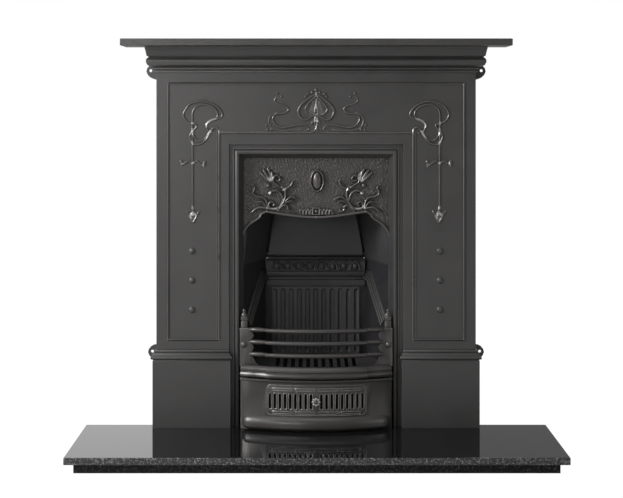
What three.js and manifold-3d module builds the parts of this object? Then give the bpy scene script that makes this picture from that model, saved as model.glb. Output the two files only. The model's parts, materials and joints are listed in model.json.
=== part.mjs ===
// A cast iron combination fireplace on a boxed granite hearth.
// Millimetres, +Z up, the front faces -Y. Heights of the ironwork are measured from the hearth top,
// and depths from the wall plane, which is also the back edge of the hearth.
import * as THREE from 'three';
import * as BufferGeometryUtils from 'three/addons/utils/BufferGeometryUtils.js';
import Module from 'manifold-3d';

const wasm = await Module();
wasm.setup();

// ---------------------------------------------------------------- driving dimensions
const seatGap = 0.3;            // left between pieces that touch
const runningGap = 0.5;         // left round pieces that move

const hearthWidth = 1372;
const hearthDepth = 381;
const slabThickness = 20;
const riserHeight = 28;
const riserThickness = 20;
const riserInset = 23;          // how far the slab overhangs its risers
const slabEdgeRound = 1.5;
const backHearthWidth = 520;
const backHearthDepth = 236;

const pilasterOuterHalf = 473;
const openingHalf = 258.6;      // between the pilasters
const openingTop = 838.8;
const pilasterDepth = 34;
const castingWall = 8;
const surroundTop = 1051;
const topFlangeDepth = 24;

const plinthReach = 10.5;       // beyond the pilaster's outer face
const plinthInnerHalf = 253.5;
const plinthDepth = 44;
const plinthWall = 12;          // deep enough to run into the pilaster behind it
const plinthHeight = 200;
const plinthBeadHeight = 14;
const plinthCapOut = 5.5;
const plinthFilletHeight = 17;  // the stepped course over the bead

const panelOuterHalf = 440;     // the raised border line of the panels
const panelInnerHalf = 292;
const panelBottom = 258;
const panelTop = 1017;
const headerLine = 872;
const borderWidth = 4;
const borderProud = 2;

const bossX = 367;
const bossHeights = [348.5, 435, 522];
const bossRadius = 10;
const bossProud = 6;

const lugThickness = 6;
const lugHoleRadius = 4.5;
const lowerLugReach = 28;       // beyond the pilaster side
const upperLugReach = 33;
const lugHeight = 50;
const lowerLugFoot = 192;
const upperLugFoot = 1029;
const lugHoleInset = 13;        // from the lug's tip
const lugHoleHeight = 28;

const corniceTop = 1126.2;
const corniceFlangeReach = 26;  // how far its foot runs in over the surround
const shelfThickness = 20.5;
const shelfHalf = 568;
const shelfDepth = 130;
const shelfBoltInset = 93;      // from the pilaster's outer face

const boltRadius = 4;
const boltHeadRadius = 8;
const boltHeadHeight = 6;
const boltHoleClearance = 0.3;

const frameFlangeThickness = 6;
const frameFlangeLap = 17.4;    // how far its flange lies behind the pilasters
const frameSeatWidth = 24;      // the seat that the hood and the cheeks are bolted to
const hoodHalf = 216;           // the clear opening inside the moulded frame
const frameTop = 796;           // top of that clear opening

const hoodThickness = 6;
const archSpringZ = 568;
const archShoulderX = 170;
const archShoulderZ = 616.5;
const archStepX = 163;
const archStepZ = 626;
const archPeakX = 148.6;
const archPeakZ = 634;
const archDipZ = 616;
const ovalZ = 728;
const ovalHalfWidth = 21;
const ovalHalfHeight = 33.5;
const ovalProud = 5;

const chamberDepth = 184;       // wall plane to the face behind the flutes
const chamberBackHalf = 157;
const cheekWall = 8;
const cheekTop = 476;

const firebackThickness = 12;
const firebackHalf = 171;
const flutedHalf = 136;
const flutedTop = 387;
const flutedProud = 7;
const fluteCount = 11;
const flutePitch = 25.4;
const fluteWidth = 15;
const fluteDepth = 5;
const fluteBottom = 191;
const fluteTop = 375;
const capHalf = 153;
const capTop = 473;
const capFriezeHeight = 22;     // heights of the cap's courses, from its foot up
const capBandHeight = 31;
const capRollHeight = 49;
const capLipHeight = 6;         // laps up inside the smoke box
const eggCount = 8;
const eggPitch = 35;

const smokeBoxTop = 806;
const smokeBoxWall = 7;
const smokeBoxTopBackHalf = 105;
const smokeBoxTopFrontHalf = 190;
const smokeBoxLean = 22;        // how far its back leans out from foot to top
const smokeBoxClearance = 16;   // from the fireback face to the foot of its back wall
const flueHalfWidth = 90;
const flueFront = 50;
const flueBack = 175;

const damperRodRadius = 4;
const damperBarrelRadius = 8.5;
const damperThickness = 5;
const damperHeight = 222;
const damperHalf = 146;
const damperTopHalf = 106;
const damperShoulder = 16;      // height of the straight part of its sides
const damperLean = 4;           // degrees back from upright at rest

const grateTop = 180;
const grateThickness = 11;
const grateBarPitch = 23;
const grateSlotWidth = 12;
const grateClearance = 3;
const bearerReach = 16;
const bearerThickness = 8;

const postX = 213;
const postWidth = 18;
const postDepth = 13;
const postFrontY = -35;
const postShoulder = 327;
const finialRadius = 8;

const bowEndHalf = 223;         // plan of the bowed front at its ends
const bowEndY = -44;
const bowDepth = 46;
const breakHalf = 144;          // where the middle of the bars and sill steps forward
const breakStep = 7;
const bowSteps = 10;

const endPlateInner = 196;
const endPlateOuter = 225;
const endPlateThickness = 9;
const endPlateTop = 295;
const barHeights = [220, 256, 292];
const barHalfHeight = 5.5;
const barHalfDepth = 6;
const sillBottom = 155;
const sillMiddle = 171;
const sillTop = 188;
const studRadius = 9;
const studProud = 6;
const studZ = 247;

const coverTop = 150;
const coverWall = 7;
const coverBeadProud = 4;
const coverBulgeProud = 12;
const coverBulgeTop = 43;
const coverBulgeHalf = 217;     // its rounded ends stop short of the cover's
const ventsPerSide = 9;
const ventPitch = 15.2;
const ventWidth = 7;
const ventHeight = 45;
const ventZ = 87.5;
const ventRimProud = 1.5;
const ventRimWidth = 5;
const slideThickness = 3;
const slideMargin = 6;
const railReach = 4;
const railThickness = 3;
const knobRadius = 13;
const knobProud = 9;
const knobStemRadius = 3;

const panHalf = 150;
const panBackY = 160;
const panFrontY = -30;
const panHeight = 62;
const panWall = 2;
const panHandleHalf = 40;
const panHandleReach = 18;
const panHandleRadius = 3.5;

// ---------------------------------------------------------------- derived values
const hearthHeight = slabThickness + riserHeight;
const wallPlaneY = (hearthDepth - backHearthDepth) / 2;
const bowRadius = (bowEndHalf ** 2 + bowDepth ** 2) / (2 * bowDepth);
const bowCentreY = bowEndY - bowDepth + bowRadius;
const ventAngle = ventPitch / bowRadius;
const slideTravelDegrees = THREE.MathUtils.radToDeg(ventAngle / 2);
const plinthOuterHalf = pilasterOuterHalf + plinthReach;
const frameSeatHalf = hoodHalf + frameSeatWidth;
const frameFlangeHalf = openingHalf + frameFlangeLap;
const cheekFlangeHalf = frameSeatHalf;
const cheekSlope = (hoodHalf - chamberBackHalf) / chamberDepth;
const firebackBack = chamberDepth + seatGap + firebackThickness;
const smokeBoxFrontY = 2 * seatGap + hoodThickness;
const smokeBoxBackY = chamberDepth + smokeBoxClearance;
const smokeBoxFoot = cheekTop + seatGap;
const damperRodY = smokeBoxBackY - damperBarrelRadius - runningGap - 1;
const damperRodZ = smokeBoxFoot + damperBarrelRadius + 5;

// ---------------------------------------------------------------- materials
const paint = (color, roughness, metalness) => new THREE.MeshStandardMaterial({ color, roughness, metalness });
const castIron = paint(0x2e2d2c, 0.45, 0.7);
const chamberIron = paint(0x1f1f20, 0.7, 0.5);
const barIron = paint(0x343230, 0.4, 0.75);
const polishedStone = paint(0x111112, 0.08, 0.0);
const boltSteel = paint(0x3a3a3a, 0.5, 0.8);
const panSteel = paint(0x26262a, 0.55, 0.7);

// ---------------------------------------------------------------- geometry helpers
function toSolid(geometry) {
  const bare = geometry.index ? geometry.toNonIndexed() : geometry.clone();
  bare.deleteAttribute('normal');
  bare.deleteAttribute('uv');
  const merged = BufferGeometryUtils.mergeVertices(bare, 1e-4);
  const vertProperties = new Float32Array(merged.attributes.position.array);
  const triVerts = new Uint32Array(merged.index.array);
  return new wasm.Manifold(new wasm.Mesh({ numProp: 3, vertProperties, triVerts }));
}

function fromSolid(solid) {
  const mesh = solid.getMesh();
  const geometry = new THREE.BufferGeometry();
  geometry.setAttribute('position', new THREE.BufferAttribute(new Float32Array(mesh.vertProperties), 3));
  geometry.setIndex(new THREE.BufferAttribute(new Uint32Array(mesh.triVerts), 1));
  geometry.computeVertexNormals();
  return geometry;
}

const unite = (geometries) => fromSolid(geometries.map(toSolid).reduce((all, next) => all.add(next)));

function cut(geometry, cutters) {
  const tools = cutters.map(toSolid).reduce((all, next) => all.add(next));
  return fromSolid(toSolid(geometry).subtract(tools));
}

function block(x0, x1, y0, y1, z0, z1) {
  const geometry = new THREE.BoxGeometry(x1 - x0, y1 - y0, z1 - z0);
  return geometry.translate((x0 + x1) / 2, (y0 + y1) / 2, (z0 + z1) / 2);
}

const outline = (points) => new THREE.Shape(points.map(([u, v]) => new THREE.Vector2(u, v)));

const extrude = (shape, depth, curveSegments = 8) =>
  new THREE.ExtrudeGeometry(shape, { depth, bevelEnabled: false, curveSegments });

// a shape drawn in X and Z, made solid from frontY to backY
function wallPlate(shape, frontY, backY, curveSegments = 8) {
  return extrude(shape, backY - frontY, curveSegments).rotateX(Math.PI / 2).translate(0, backY, 0);
}

// a shape drawn in Y and Z, made solid from x0 to x1
function alongX(shape, x0, x1, curveSegments = 8) {
  const turn = new THREE.Matrix4().makeBasis(
    new THREE.Vector3(0, 1, 0), new THREE.Vector3(0, 0, 1), new THREE.Vector3(1, 0, 0));
  return extrude(shape, x1 - x0, curveSegments).applyMatrix4(turn).translate(x0, 0, 0);
}

const upright = (shape, z0, z1, curveSegments = 8) => extrude(shape, z1 - z0, curveSegments).translate(0, 0, z0);

// rounds of the profile's points, each placed by a station, joined and capped at both ends
function sweep(drawnProfile, stations) {
  const flat = (points) => points.map(([u, v]) => new THREE.Vector2(u, v));
  const clockwise = THREE.ShapeUtils.isClockWise(flat(drawnProfile));
  const profile = clockwise ? drawnProfile.slice().reverse() : drawnProfile;
  const count = profile.length;
  const positions = stations.flatMap((place) => profile.flatMap(([out, z]) => place(out, z)));
  const index = [];
  for (let ring = 0; ring < stations.length - 1; ring++) {
    for (let i = 0; i < count; i++) {
      const a = ring * count + i;
      const b = ring * count + (i + 1) % count;
      index.push(a, a + count, b, b, a + count, b + count);
    }
  }
  const caps = THREE.ShapeUtils.triangulateShape(flat(profile), []);
  const last = (stations.length - 1) * count;
  for (const [a, b, c] of caps) {
    index.push(a, b, c);
    index.push(last + a, last + c, last + b);
  }
  const geometry = new THREE.BufferGeometry();
  geometry.setAttribute('position', new THREE.Float32BufferAttribute(positions, 3));
  geometry.setIndex(index);
  return facingOut(geometry);
}

// turns every face round if the closed surface has come out inside out
function facingOut(geometry) {
  const position = geometry.attributes.position;
  const order = geometry.index.array;
  const [a, b, c] = [new THREE.Vector3(), new THREE.Vector3(), new THREE.Vector3()];
  let volume = 0;
  for (let i = 0; i < order.length; i += 3) {
    a.fromBufferAttribute(position, order[i]);
    b.fromBufferAttribute(position, order[i + 1]);
    c.fromBufferAttribute(position, order[i + 2]);
    volume += a.dot(b.cross(c));
  }
  if (volume < 0) {
    for (let i = 0; i < order.length; i += 3) {
      [order[i], order[i + 1]] = [order[i + 1], order[i]];
    }
  }
  geometry.computeVertexNormals();
  return geometry;
}

// a station on the bowed front at x, where out is measured square to the bow
function bowStation(x, extra = 0) {
  const angle = Math.asin(x / bowRadius);
  return (out, z) => [
    Math.sin(angle) * (bowRadius + out + extra),
    bowCentreY - Math.cos(angle) * (bowRadius + out + extra),
    z,
  ];
}

// stations from end to end of the bow; with a step, the middle stands forward by it
function bowStations(half, step = 0) {
  const list = [];
  const middle = Math.min(half, breakHalf);
  if (half > middle) {
    list.push(bowStation(-half), bowStation(-(half + middle) / 2), bowStation(-middle));
  }
  for (let i = 0; i <= bowSteps; i++) {
    const x = -middle + (2 * middle * i) / bowSteps;
    list.push(bowStation(x, step));
  }
  if (half > middle) {
    list.push(bowStation(middle), bowStation((half + middle) / 2), bowStation(half));
  }
  return list;
}

// the bow without a step, in even parts
const plainBow = (half, steps = bowSteps + 4) =>
  Array.from({ length: steps + 1 }, (_, i) => bowStation(-half + (2 * half * i) / steps));

// a round bar or hole along Y
function rodY(x, z, radius, y0, y1, sides = 12) {
  const geometry = new THREE.CylinderGeometry(radius, radius, y1 - y0, sides);
  return geometry.translate(x, (y0 + y1) / 2, z);
}

function rodX(y, z, radius, x0, x1, sides = 14) {
  const geometry = new THREE.CylinderGeometry(radius, radius, x1 - x0, sides).rotateZ(Math.PI / 2);
  return geometry.translate((x0 + x1) / 2, y, z);
}

function rodZ(x, y, radius, z0, z1, sides = 12) {
  const geometry = new THREE.CylinderGeometry(radius, radius, z1 - z0, sides).rotateX(Math.PI / 2);
  return geometry.translate(x, y, (z0 + z1) / 2);
}

// a turned shape from [radius, height] pairs, standing up along Z
const turned = (profile, sides = 16) =>
  new THREE.LatheGeometry(profile.map(([r, h]) => new THREE.Vector2(r, h)), sides).rotateX(Math.PI / 2);

// a bolt put in from behind: its head rests on the face at faceY, its shank runs to -Y
function boltFromBack(faceY, length) {
  const headY = faceY + seatGap;
  const head = rodY(0, 0, boltHeadRadius, headY, headY + boltHeadHeight, 6);
  return unite([head, rodY(0, 0, boltRadius, faceY - length, headY + 1, 10)]);
}

// a bolt put in from below: its head hangs under the face at faceZ, its shank runs up
function boltFromBelow(faceZ, length) {
  const headZ = faceZ - seatGap;
  const head = rodZ(0, 0, boltHeadRadius, headZ - boltHeadHeight, headZ, 6);
  return unite([head, rodZ(0, 0, boltRadius, headZ - 1, faceZ + length, 10)]);
}

const boltHoleY = (x, z, y0, y1) => rodY(x, z, boltRadius + boltHoleClearance, y0, y1, 10);
const boltHoleZ = (x, y, z0, z1) => rodZ(x, y, boltRadius + boltHoleClearance, z0, z1, 10);
const mirrored = (values) => values.flatMap((value) => [value, -value]);

// ---------------------------------------------------------------- the assembly
const fireplace = new THREE.Group();
const ironwork = new THREE.Group();
ironwork.position.set(0, wallPlaneY, hearthHeight);
fireplace.add(ironwork);

function add(name, geometry, material, x = 0, y = 0, z = 0) {
  const mesh = new THREE.Mesh(geometry, material);
  mesh.name = name;
  mesh.position.set(x, y, z);
  ironwork.add(mesh);
  return mesh;
}

// ---------------------------------------------------------------- hearth
function addHearth() {
  const slab = outline([[-hearthWidth / 2 + slabEdgeRound, -hearthDepth + slabEdgeRound],
    [hearthWidth / 2 - slabEdgeRound, -hearthDepth + slabEdgeRound],
    [hearthWidth / 2 - slabEdgeRound, -slabEdgeRound], [-hearthWidth / 2 + slabEdgeRound, -slabEdgeRound]]);
  const slabGeometry = new THREE.ExtrudeGeometry(slab, {
    depth: slabThickness - 2 * slabEdgeRound, bevelThickness: slabEdgeRound, bevelSize: slabEdgeRound,
    bevelSegments: 2 });
  add('hearth_slab', slabGeometry.translate(0, 0, -slabThickness + slabEdgeRound), polishedStone);
  const riserTop = -slabThickness - seatGap;
  const outer = hearthWidth / 2 - riserInset;
  const front = -hearthDepth + riserInset;
  add('hearth_riser_front',
    block(-outer, outer, front, front + riserThickness, -hearthHeight, riserTop), polishedStone);
  const sideFront = front + riserThickness + seatGap;
  for (const [name, x0] of [['hearth_riser_left', -outer], ['hearth_riser_right', outer - riserThickness]]) {
    add(name, block(x0, x0 + riserThickness, sideFront, 0, -hearthHeight, riserTop), polishedStone);
  }
  add('back_hearth', block(-backHearthWidth / 2, backHearthWidth / 2, seatGap, backHearthDepth,
    -hearthHeight, 0), polishedStone);
}

// ---------------------------------------------------------------- surround casting
function lug(side, inner, foot, reach) {
  const tip = pilasterOuterHalf + reach;
  const rounded = [[-22, 0.06], [-12, 0.15], [-4, 0.31], [0, 0.5], [-2, 0.69], [-9, 0.86], [-18, 0.96]];
  const shape = outline([[inner, foot], ...rounded.map(([x, share]) => [tip + x, foot + share * lugHeight]),
    [inner, foot + lugHeight]]);
  const plate = wallPlate(shape, -lugThickness, 0);
  const hole = rodY(tip - lugHoleInset, foot + lugHoleHeight, lugHoleRadius, -2 * lugThickness, lugThickness);
  const holed = cut(plate, [hole]);
  return side > 0 ? holed : facingOut(holed.scale(-1, 1, 1));
}

function plinthProfile() {
  const foot = plinthHeight;
  const out = plinthCapOut;
  const cap = foot + plinthBeadHeight;
  const top = cap + plinthFilletHeight;
  return [[-plinthWall, 0], [0, 0], [0, foot - 2], [-1, foot], [-1, foot + 2], [out - 2, foot + 3],
    [out, foot + 5.5], [out, foot + 9.5], [out - 2, cap - 1.5], [0, cap], [-1, cap + 1.5], [-2, cap + 7],
    [-5.5, cap + 8], [-5.5, cap + 9.5], [-3.5, cap + 10.5], [-3.5, top - 4.5], [-5.5, top - 1], [-9, top],
    [-plinthWall, top]];
}

// the moulded block under a pilaster, swept round its outer side, front and inner side
function plinth(side) {
  const place = (x, y) => (out, z) => [side * x(out), y(out), z];
  const stations = [
    place((out) => plinthOuterHalf + out, () => 0),
    place((out) => plinthOuterHalf + out, (out) => -plinthDepth - out),
    place((out) => plinthInnerHalf - out, (out) => -plinthDepth - out),
    place((out) => plinthInnerHalf - out, () => -pilasterDepth + castingWall),
  ];
  return sweep(plinthProfile(), stations);
}

function borderLine() {
  const b = borderWidth;
  const outer = outline([[-panelOuterHalf, panelBottom], [-panelInnerHalf, panelBottom],
    [-panelInnerHalf, headerLine], [panelInnerHalf, headerLine], [panelInnerHalf, panelBottom],
    [panelOuterHalf, panelBottom], [panelOuterHalf, panelTop], [-panelOuterHalf, panelTop]]);
  const inner = new THREE.Path([[-panelOuterHalf + b, panelBottom + b], [-panelInnerHalf - b, panelBottom + b],
    [-panelInnerHalf - b, headerLine + b], [panelInnerHalf + b, headerLine + b],
    [panelInnerHalf + b, panelBottom + b], [panelOuterHalf - b, panelBottom + b],
    [panelOuterHalf - b, panelTop - b], [-panelOuterHalf + b, panelTop - b],
  ].map(([x, z]) => new THREE.Vector2(x, z)));
  outer.holes.push(inner);
  return wallPlate(outer, -pilasterDepth - borderProud, -pilasterDepth + 1);
}

// half a ball on the pilaster face
function boss(x, z) {
  const profile = [[0, -2], [bossRadius, -2], [bossRadius, 0], [bossRadius * 0.85, bossProud * 0.55],
    [bossRadius * 0.5, bossProud * 0.9], [0, bossProud]];
  return turned(profile, 12).rotateX(Math.PI / 2).translate(x, -pilasterDepth, z);
}

const corniceBoltX = 300;
const corniceBoltY = -topFlangeDepth / 2 - 1;

function addSurround() {
  const face = outline([[-pilasterOuterHalf, 0], [-openingHalf, 0], [-openingHalf, openingTop],
    [openingHalf, openingTop], [openingHalf, 0], [pilasterOuterHalf, 0], [pilasterOuterHalf, surroundTop],
    [-pilasterOuterHalf, surroundTop]]);
  const pieces = [wallPlate(face, -pilasterDepth, -pilasterDepth + castingWall), borderLine()];
  const back = -pilasterDepth + castingWall - 1;
  pieces.push(block(-pilasterOuterHalf + 1, pilasterOuterHalf - 1, back, 0, surroundTop - castingWall, surroundTop));
  for (const side of [-1, 1]) {
    const [x0, x1] = [side * pilasterOuterHalf, side * (pilasterOuterHalf - castingWall)].sort((a, b) => a - b);
    pieces.push(block(x0, x1, back, 0, 0, surroundTop - 1));
    pieces.push(plinth(side));
    pieces.push(lug(side, pilasterOuterHalf - castingWall, lowerLugFoot, lowerLugReach));
    for (const z of bossHeights) {
      pieces.push(boss(side * bossX, z));
    }
  }
  const whole = unite(pieces);
  const holes = [];
  for (const x of mirrored([corniceBoltX])) {
    holes.push(boltHoleZ(x, corniceBoltY, surroundTop - 2 * castingWall, surroundTop + 1));
  }
  for (const [x, z] of frameBoltPlaces) {
    holes.push(boltHoleY(x, z, -pilasterDepth + castingWall - 5, -pilasterDepth + castingWall + 1));
  }
  add('surround', cut(whole, holes), castIron);
}

// ---------------------------------------------------------------- cornice and mantel shelf
const shelfBoltXs = [shelfBoltInset - pilasterOuterHalf, 0, pilasterOuterHalf - shelfBoltInset];
const shelfBoltY = -pilasterDepth - 2;
const shelfBoltDepth = 12;

function corniceProfile() {
  const foot = surroundTop + seatGap;
  const wall = castingWall;
  const reach = -corniceFlangeReach;
  return [[reach, foot], [5, foot], [5, foot + 5], [2.5, foot + 6], [2.5, foot + 8], [9, foot + 9],
    [9, foot + 14], [7, foot + 15], [16, foot + 16.5], [24, foot + 21], [28, foot + 29], [28, foot + 36],
    [24, foot + 42], [21, foot + 43.5], [21, foot + 45.5], [26, foot + 48], [28.5, foot + 60],
    [32, corniceTop], [-14, corniceTop], [-14, corniceTop - wall + 1], [22, corniceTop - wall + 1],
    [18, foot + 60], [13, foot + 46], [15, foot + 40], [18, foot + 34], [18, foot + 30], [12, foot + 25],
    [0, foot + 23], [-3, foot + wall - 1], [reach, foot + wall - 1]];
}

function addCornice() {
  const stations = [
    (out, z) => [-pilasterOuterHalf - out, 0, z],
    (out, z) => [-pilasterOuterHalf - out, -pilasterDepth - out, z],
    (out, z) => [pilasterOuterHalf + out, -pilasterDepth - out, z],
    (out, z) => [pilasterOuterHalf + out, 0, z],
  ];
  const holes = shelfBoltXs.map((x) => boltHoleZ(x, shelfBoltY, corniceTop - 2 * castingWall, corniceTop + 1));
  for (const x of mirrored([corniceBoltX])) {
    holes.push(boltHoleZ(x, corniceBoltY, surroundTop - 1, surroundTop + castingWall + 1));
  }
  const inner = pilasterOuterHalf + seatGap;
  const lugs = [-1, 1].map((side) => lug(side, inner, upperLugFoot, upperLugReach));
  add('cornice', cut(unite([sweep(corniceProfile(), stations), ...lugs]), holes), castIron);
  for (const [name, x] of [['cornice_bolt_left', -corniceBoltX], ['cornice_bolt_right', corniceBoltX]]) {
    const bolt = boltFromBelow(surroundTop - castingWall, 2 * castingWall + 2);
    add(name, bolt, boltSteel, x, corniceBoltY, 0);
  }
}

function addShelf() {
  const edge = 2;
  const bottom = corniceTop + seatGap;
  const plan = outline([[-shelfHalf + edge, -shelfDepth + edge], [shelfHalf - edge, -shelfDepth + edge],
    [shelfHalf - edge, -edge], [-shelfHalf + edge, -edge]]);
  const plate = new THREE.ExtrudeGeometry(plan, {
    depth: shelfThickness - 2 * edge, bevelThickness: edge, bevelSize: edge, bevelSegments: 2 });
  const holes = shelfBoltXs.map((x) => boltHoleZ(x, shelfBoltY, bottom - 1, bottom + shelfBoltDepth + 1));
  add('mantel_shelf', cut(plate.translate(0, 0, bottom + edge), holes), castIron);
  for (const [name, x] of [['shelf_bolt_left', -shelfBoltXs[2]], ['shelf_bolt_middle', 0],
    ['shelf_bolt_right', shelfBoltXs[2]]]) {
    const face = corniceTop - castingWall + 1;
    add(name, boltFromBelow(face, castingWall - 1 + shelfBoltDepth), boltSteel, x, shelfBoltY, 0);
  }
}

// ---------------------------------------------------------------- moulded frame round the opening
const frameBackY = 0;
const frameFlangeFrontY = -pilasterDepth + castingWall + seatGap;
const frameBoltPlaces = mirrored([(openingHalf + frameFlangeHalf) / 2]).flatMap((x) => [[x, 330], [x, 720]]);
const seatBoltX = hoodHalf + 0.625 * frameSeatWidth;
const hoodBoltPlaces = mirrored([seatBoltX]).flatMap((x) => [[x, 590], [x, 770]]);
const cheekBoltPlaces = mirrored([seatBoltX]).flatMap((x) => [[x, 90], [x, 420]]);
const seatBoltDepth = 12;

// half-width of each point of the moulding, and its depth, from the outer edge inwards
function frameProfile() {
  const front = frameFlangeFrontY;
  const back = front + frameFlangeThickness;
  const w = hoodHalf;
  return [[frameFlangeHalf, front], [w + 31, front], [w + 30, front - 3], [w + 27.5, front - 3],
    [w + 26.5, front + 1], [w + 25, front + 1], [w + 23, front - 3.5], [w + 19, front - 5.5], [w + 14, front - 4.5],
    [w + 11, front], [w + 8.5, front + 9], [w + 4, front + 17], [w + 1, front + 21], [w, frameBackY],
    [frameSeatHalf, frameBackY], [frameSeatHalf, back], [frameFlangeHalf, back]];
}

function addInnerFrame() {
  const rise = frameTop - hoodHalf;
  const stations = [
    (half, y) => [-half, y, seatGap],
    (half, y) => [-half, y, half + rise],
    (half, y) => [half, y, half + rise],
    (half, y) => [half, y, seatGap],
  ];
  const frame = sweep(frameProfile(), stations);
  const flangeBack = frameFlangeFrontY + frameFlangeThickness;
  const cutters = frameBoltPlaces.map(([x, z]) => boltHoleY(x, z, frameFlangeFrontY - 1, flangeBack + 1));
  for (const [x, z] of [...hoodBoltPlaces, ...cheekBoltPlaces]) {
    cutters.push(boltHoleY(x, z, -seatBoltDepth - 1, 1));
  }
  add('inner_frame', cut(frame, cutters), castIron);
  const sides = ['right', 'left'];
  frameBoltPlaces.forEach(([x, z], i) => {
    const name = `frame_bolt_${sides[i >> 1]}_${i % 2 ? 'upper' : 'lower'}`;
    add(name, boltFromBack(flangeBack, frameFlangeThickness + 4), boltSteel, x, 0, z);
  });
}

// ---------------------------------------------------------------- hood plate
function archShape() {
  const archHaunchX = hoodHalf - 0.2 * (hoodHalf - archShoulderX);
  const archHaunchZ = archSpringZ + 0.65 * (archShoulderZ - archSpringZ);
  const foot = archSpringZ - 8;
  const shape = new THREE.Shape();
  shape.moveTo(-frameSeatHalf, foot);
  shape.lineTo(-hoodHalf, foot);
  shape.lineTo(-hoodHalf, archSpringZ);
  shape.quadraticCurveTo(-archHaunchX, archHaunchZ, -archShoulderX, archShoulderZ);
  shape.lineTo(-archStepX, archStepZ);
  shape.lineTo(-archPeakX, archPeakZ);
  shape.quadraticCurveTo(0, 2 * archDipZ - archPeakZ, archPeakX, archPeakZ);
  shape.lineTo(archStepX, archStepZ);
  shape.lineTo(archShoulderX, archShoulderZ);
  shape.quadraticCurveTo(archHaunchX, archHaunchZ, hoodHalf, archSpringZ);
  shape.lineTo(hoodHalf, foot);
  shape.lineTo(frameSeatHalf, foot);
  shape.lineTo(frameSeatHalf, frameTop + 20);
  shape.lineTo(-frameSeatHalf, frameTop + 20);
  return shape;
}

function addHoodPlate() {
  const front = seatGap;
  const plate = wallPlate(archShape(), front, front + hoodThickness, 8);
  const oval = turned([[0, -2], [1, -2], [1, 1.5], [0.86, 2], [0.72, 1], [0.66, 1.5], [0.45, 3.8], [0, ovalProud]], 24);
  oval.scale(ovalHalfWidth, ovalHalfHeight, 1).rotateX(Math.PI / 2).translate(0, front, ovalZ);
  const holes = hoodBoltPlaces.map(([x, z]) => boltHoleY(x, z, -1, front + hoodThickness + 1));
  add('hood_plate', cut(unite([plate, oval]), holes), castIron);
}

// ---------------------------------------------------------------- fire chamber
// half-width of the chamber's inner face at a depth
const cheekHalf = (y) => hoodHalf - cheekSlope * y;

function cheek(side) {
  const front = seatGap;
  const back = chamberDepth;
  const plan = outline([[cheekHalf(front), front], [cheekHalf(back), back], [cheekHalf(back) + cheekWall, back],
    [cheekHalf(front) + cheekWall, front + cheekWall], [cheekFlangeHalf, front + cheekWall],
    [cheekFlangeHalf, front]]);
  const pieces = [upright(plan, seatGap, cheekTop)];
  const bearerBack = back - 12;
  const bearerFront = 16;
  const bearerTop = grateTop - grateThickness - seatGap;
  const bearer = outline([[cheekHalf(bearerFront) - bearerReach, bearerFront],
    [cheekHalf(bearerBack) - bearerReach, bearerBack], [cheekHalf(bearerBack) + 2, bearerBack],
    [cheekHalf(bearerFront) + 2, bearerFront]]);
  pieces.push(upright(bearer, bearerTop - bearerThickness, bearerTop));
  pieces.push(cheekMoulding());
  const whole = unite(pieces);
  const holes = cheekBoltPlaces.filter(([x]) => x > 0)
    .map(([x, z]) => boltHoleY(x, z, -1, front + cheekWall + 1));
  const holed = cut(whole, holes);
  return side > 0 ? holed : facingOut(holed.scale(-1, 1, 1));
}

// the raised band on the cheek: level at the back, then falling to the front
function cheekMoulding() {
  const path = [[chamberDepth - 6, 441], [chamberDepth - 44, 441], [24, 318]];
  const band = 26;
  const shape = outline([...path, ...path.slice().reverse().map(([y, z]) => [y, z - band])]);
  const geometry = alongX(shape, -4, 4);
  const shear = new THREE.Matrix4().set(1, -cheekSlope, 0, hoodHalf - 1.5, 0, 1, 0, 0, 0, 0, 1, 0, 0, 0, 0, 1);
  return geometry.applyMatrix4(shear);
}

function addFireback() {
  const face = chamberDepth + seatGap;
  const plate = block(-firebackHalf, firebackHalf, face, firebackBack, seatGap, flutedTop);
  const panel = block(-flutedHalf, flutedHalf, face - flutedProud, face + 1, seatGap + 60, flutedTop);
  const flutes = [];
  for (let i = 0; i < fluteCount; i++) {
    const x = (i - (fluteCount - 1) / 2) * flutePitch;
    const groove = new THREE.CylinderGeometry(fluteWidth / 2, fluteWidth / 2, fluteTop - fluteBottom, 12);
    groove.rotateX(Math.PI / 2).scale(1, fluteDepth / (fluteWidth / 2), 1);
    flutes.push(groove.translate(x, face - flutedProud, (fluteTop + fluteBottom) / 2));
  }
  add('fireback', cut(unite([plate, panel]), flutes), chamberIron);
}

function addFirebackCap() {
  const foot = flutedTop + seatGap;
  const face = chamberDepth + seatGap;
  const [frieze, band, roll] = [capFriezeHeight, capBandHeight, capRollHeight].map((height) => foot + height);
  const profile = outline([[firebackBack, foot], [face - 8, foot], [face - 9, foot + 6], [face - 10, frieze],
    [face - 13, frieze + 3], [face - 13, band], [face - 17, band + 5], [face - 19, roll - 6],
    [face - 19, roll], [face - 15, roll + 3], [face - 16, capTop - 4], [face - 21, capTop - 2],
    [face - 22, capTop], [firebackBack, capTop]]);
  const lipHalf = cheekHalf(smokeBoxBackY) - 2;
  const pieces = [
    alongX(profile, -capHalf, capHalf),
    block(-firebackHalf, firebackHalf, face, firebackBack, foot, cheekTop),
    block(-lipHalf, lipHalf, firebackBack - capLipHeight, firebackBack, capTop - 1, smokeBoxFoot + capLipHeight / 2),
  ];
  for (let i = 0; i < eggCount; i++) {
    const x = (i - (eggCount - 1) / 2) * eggPitch;
    const egg = new THREE.SphereGeometry(1, 10, 6).scale(11, 7, 13);
    pieces.push(egg.translate(x, face - 16, (roll + 3 + capTop - 4) / 2));
  }
  add('fireback_cap', unite(pieces), chamberIron);
}

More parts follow.
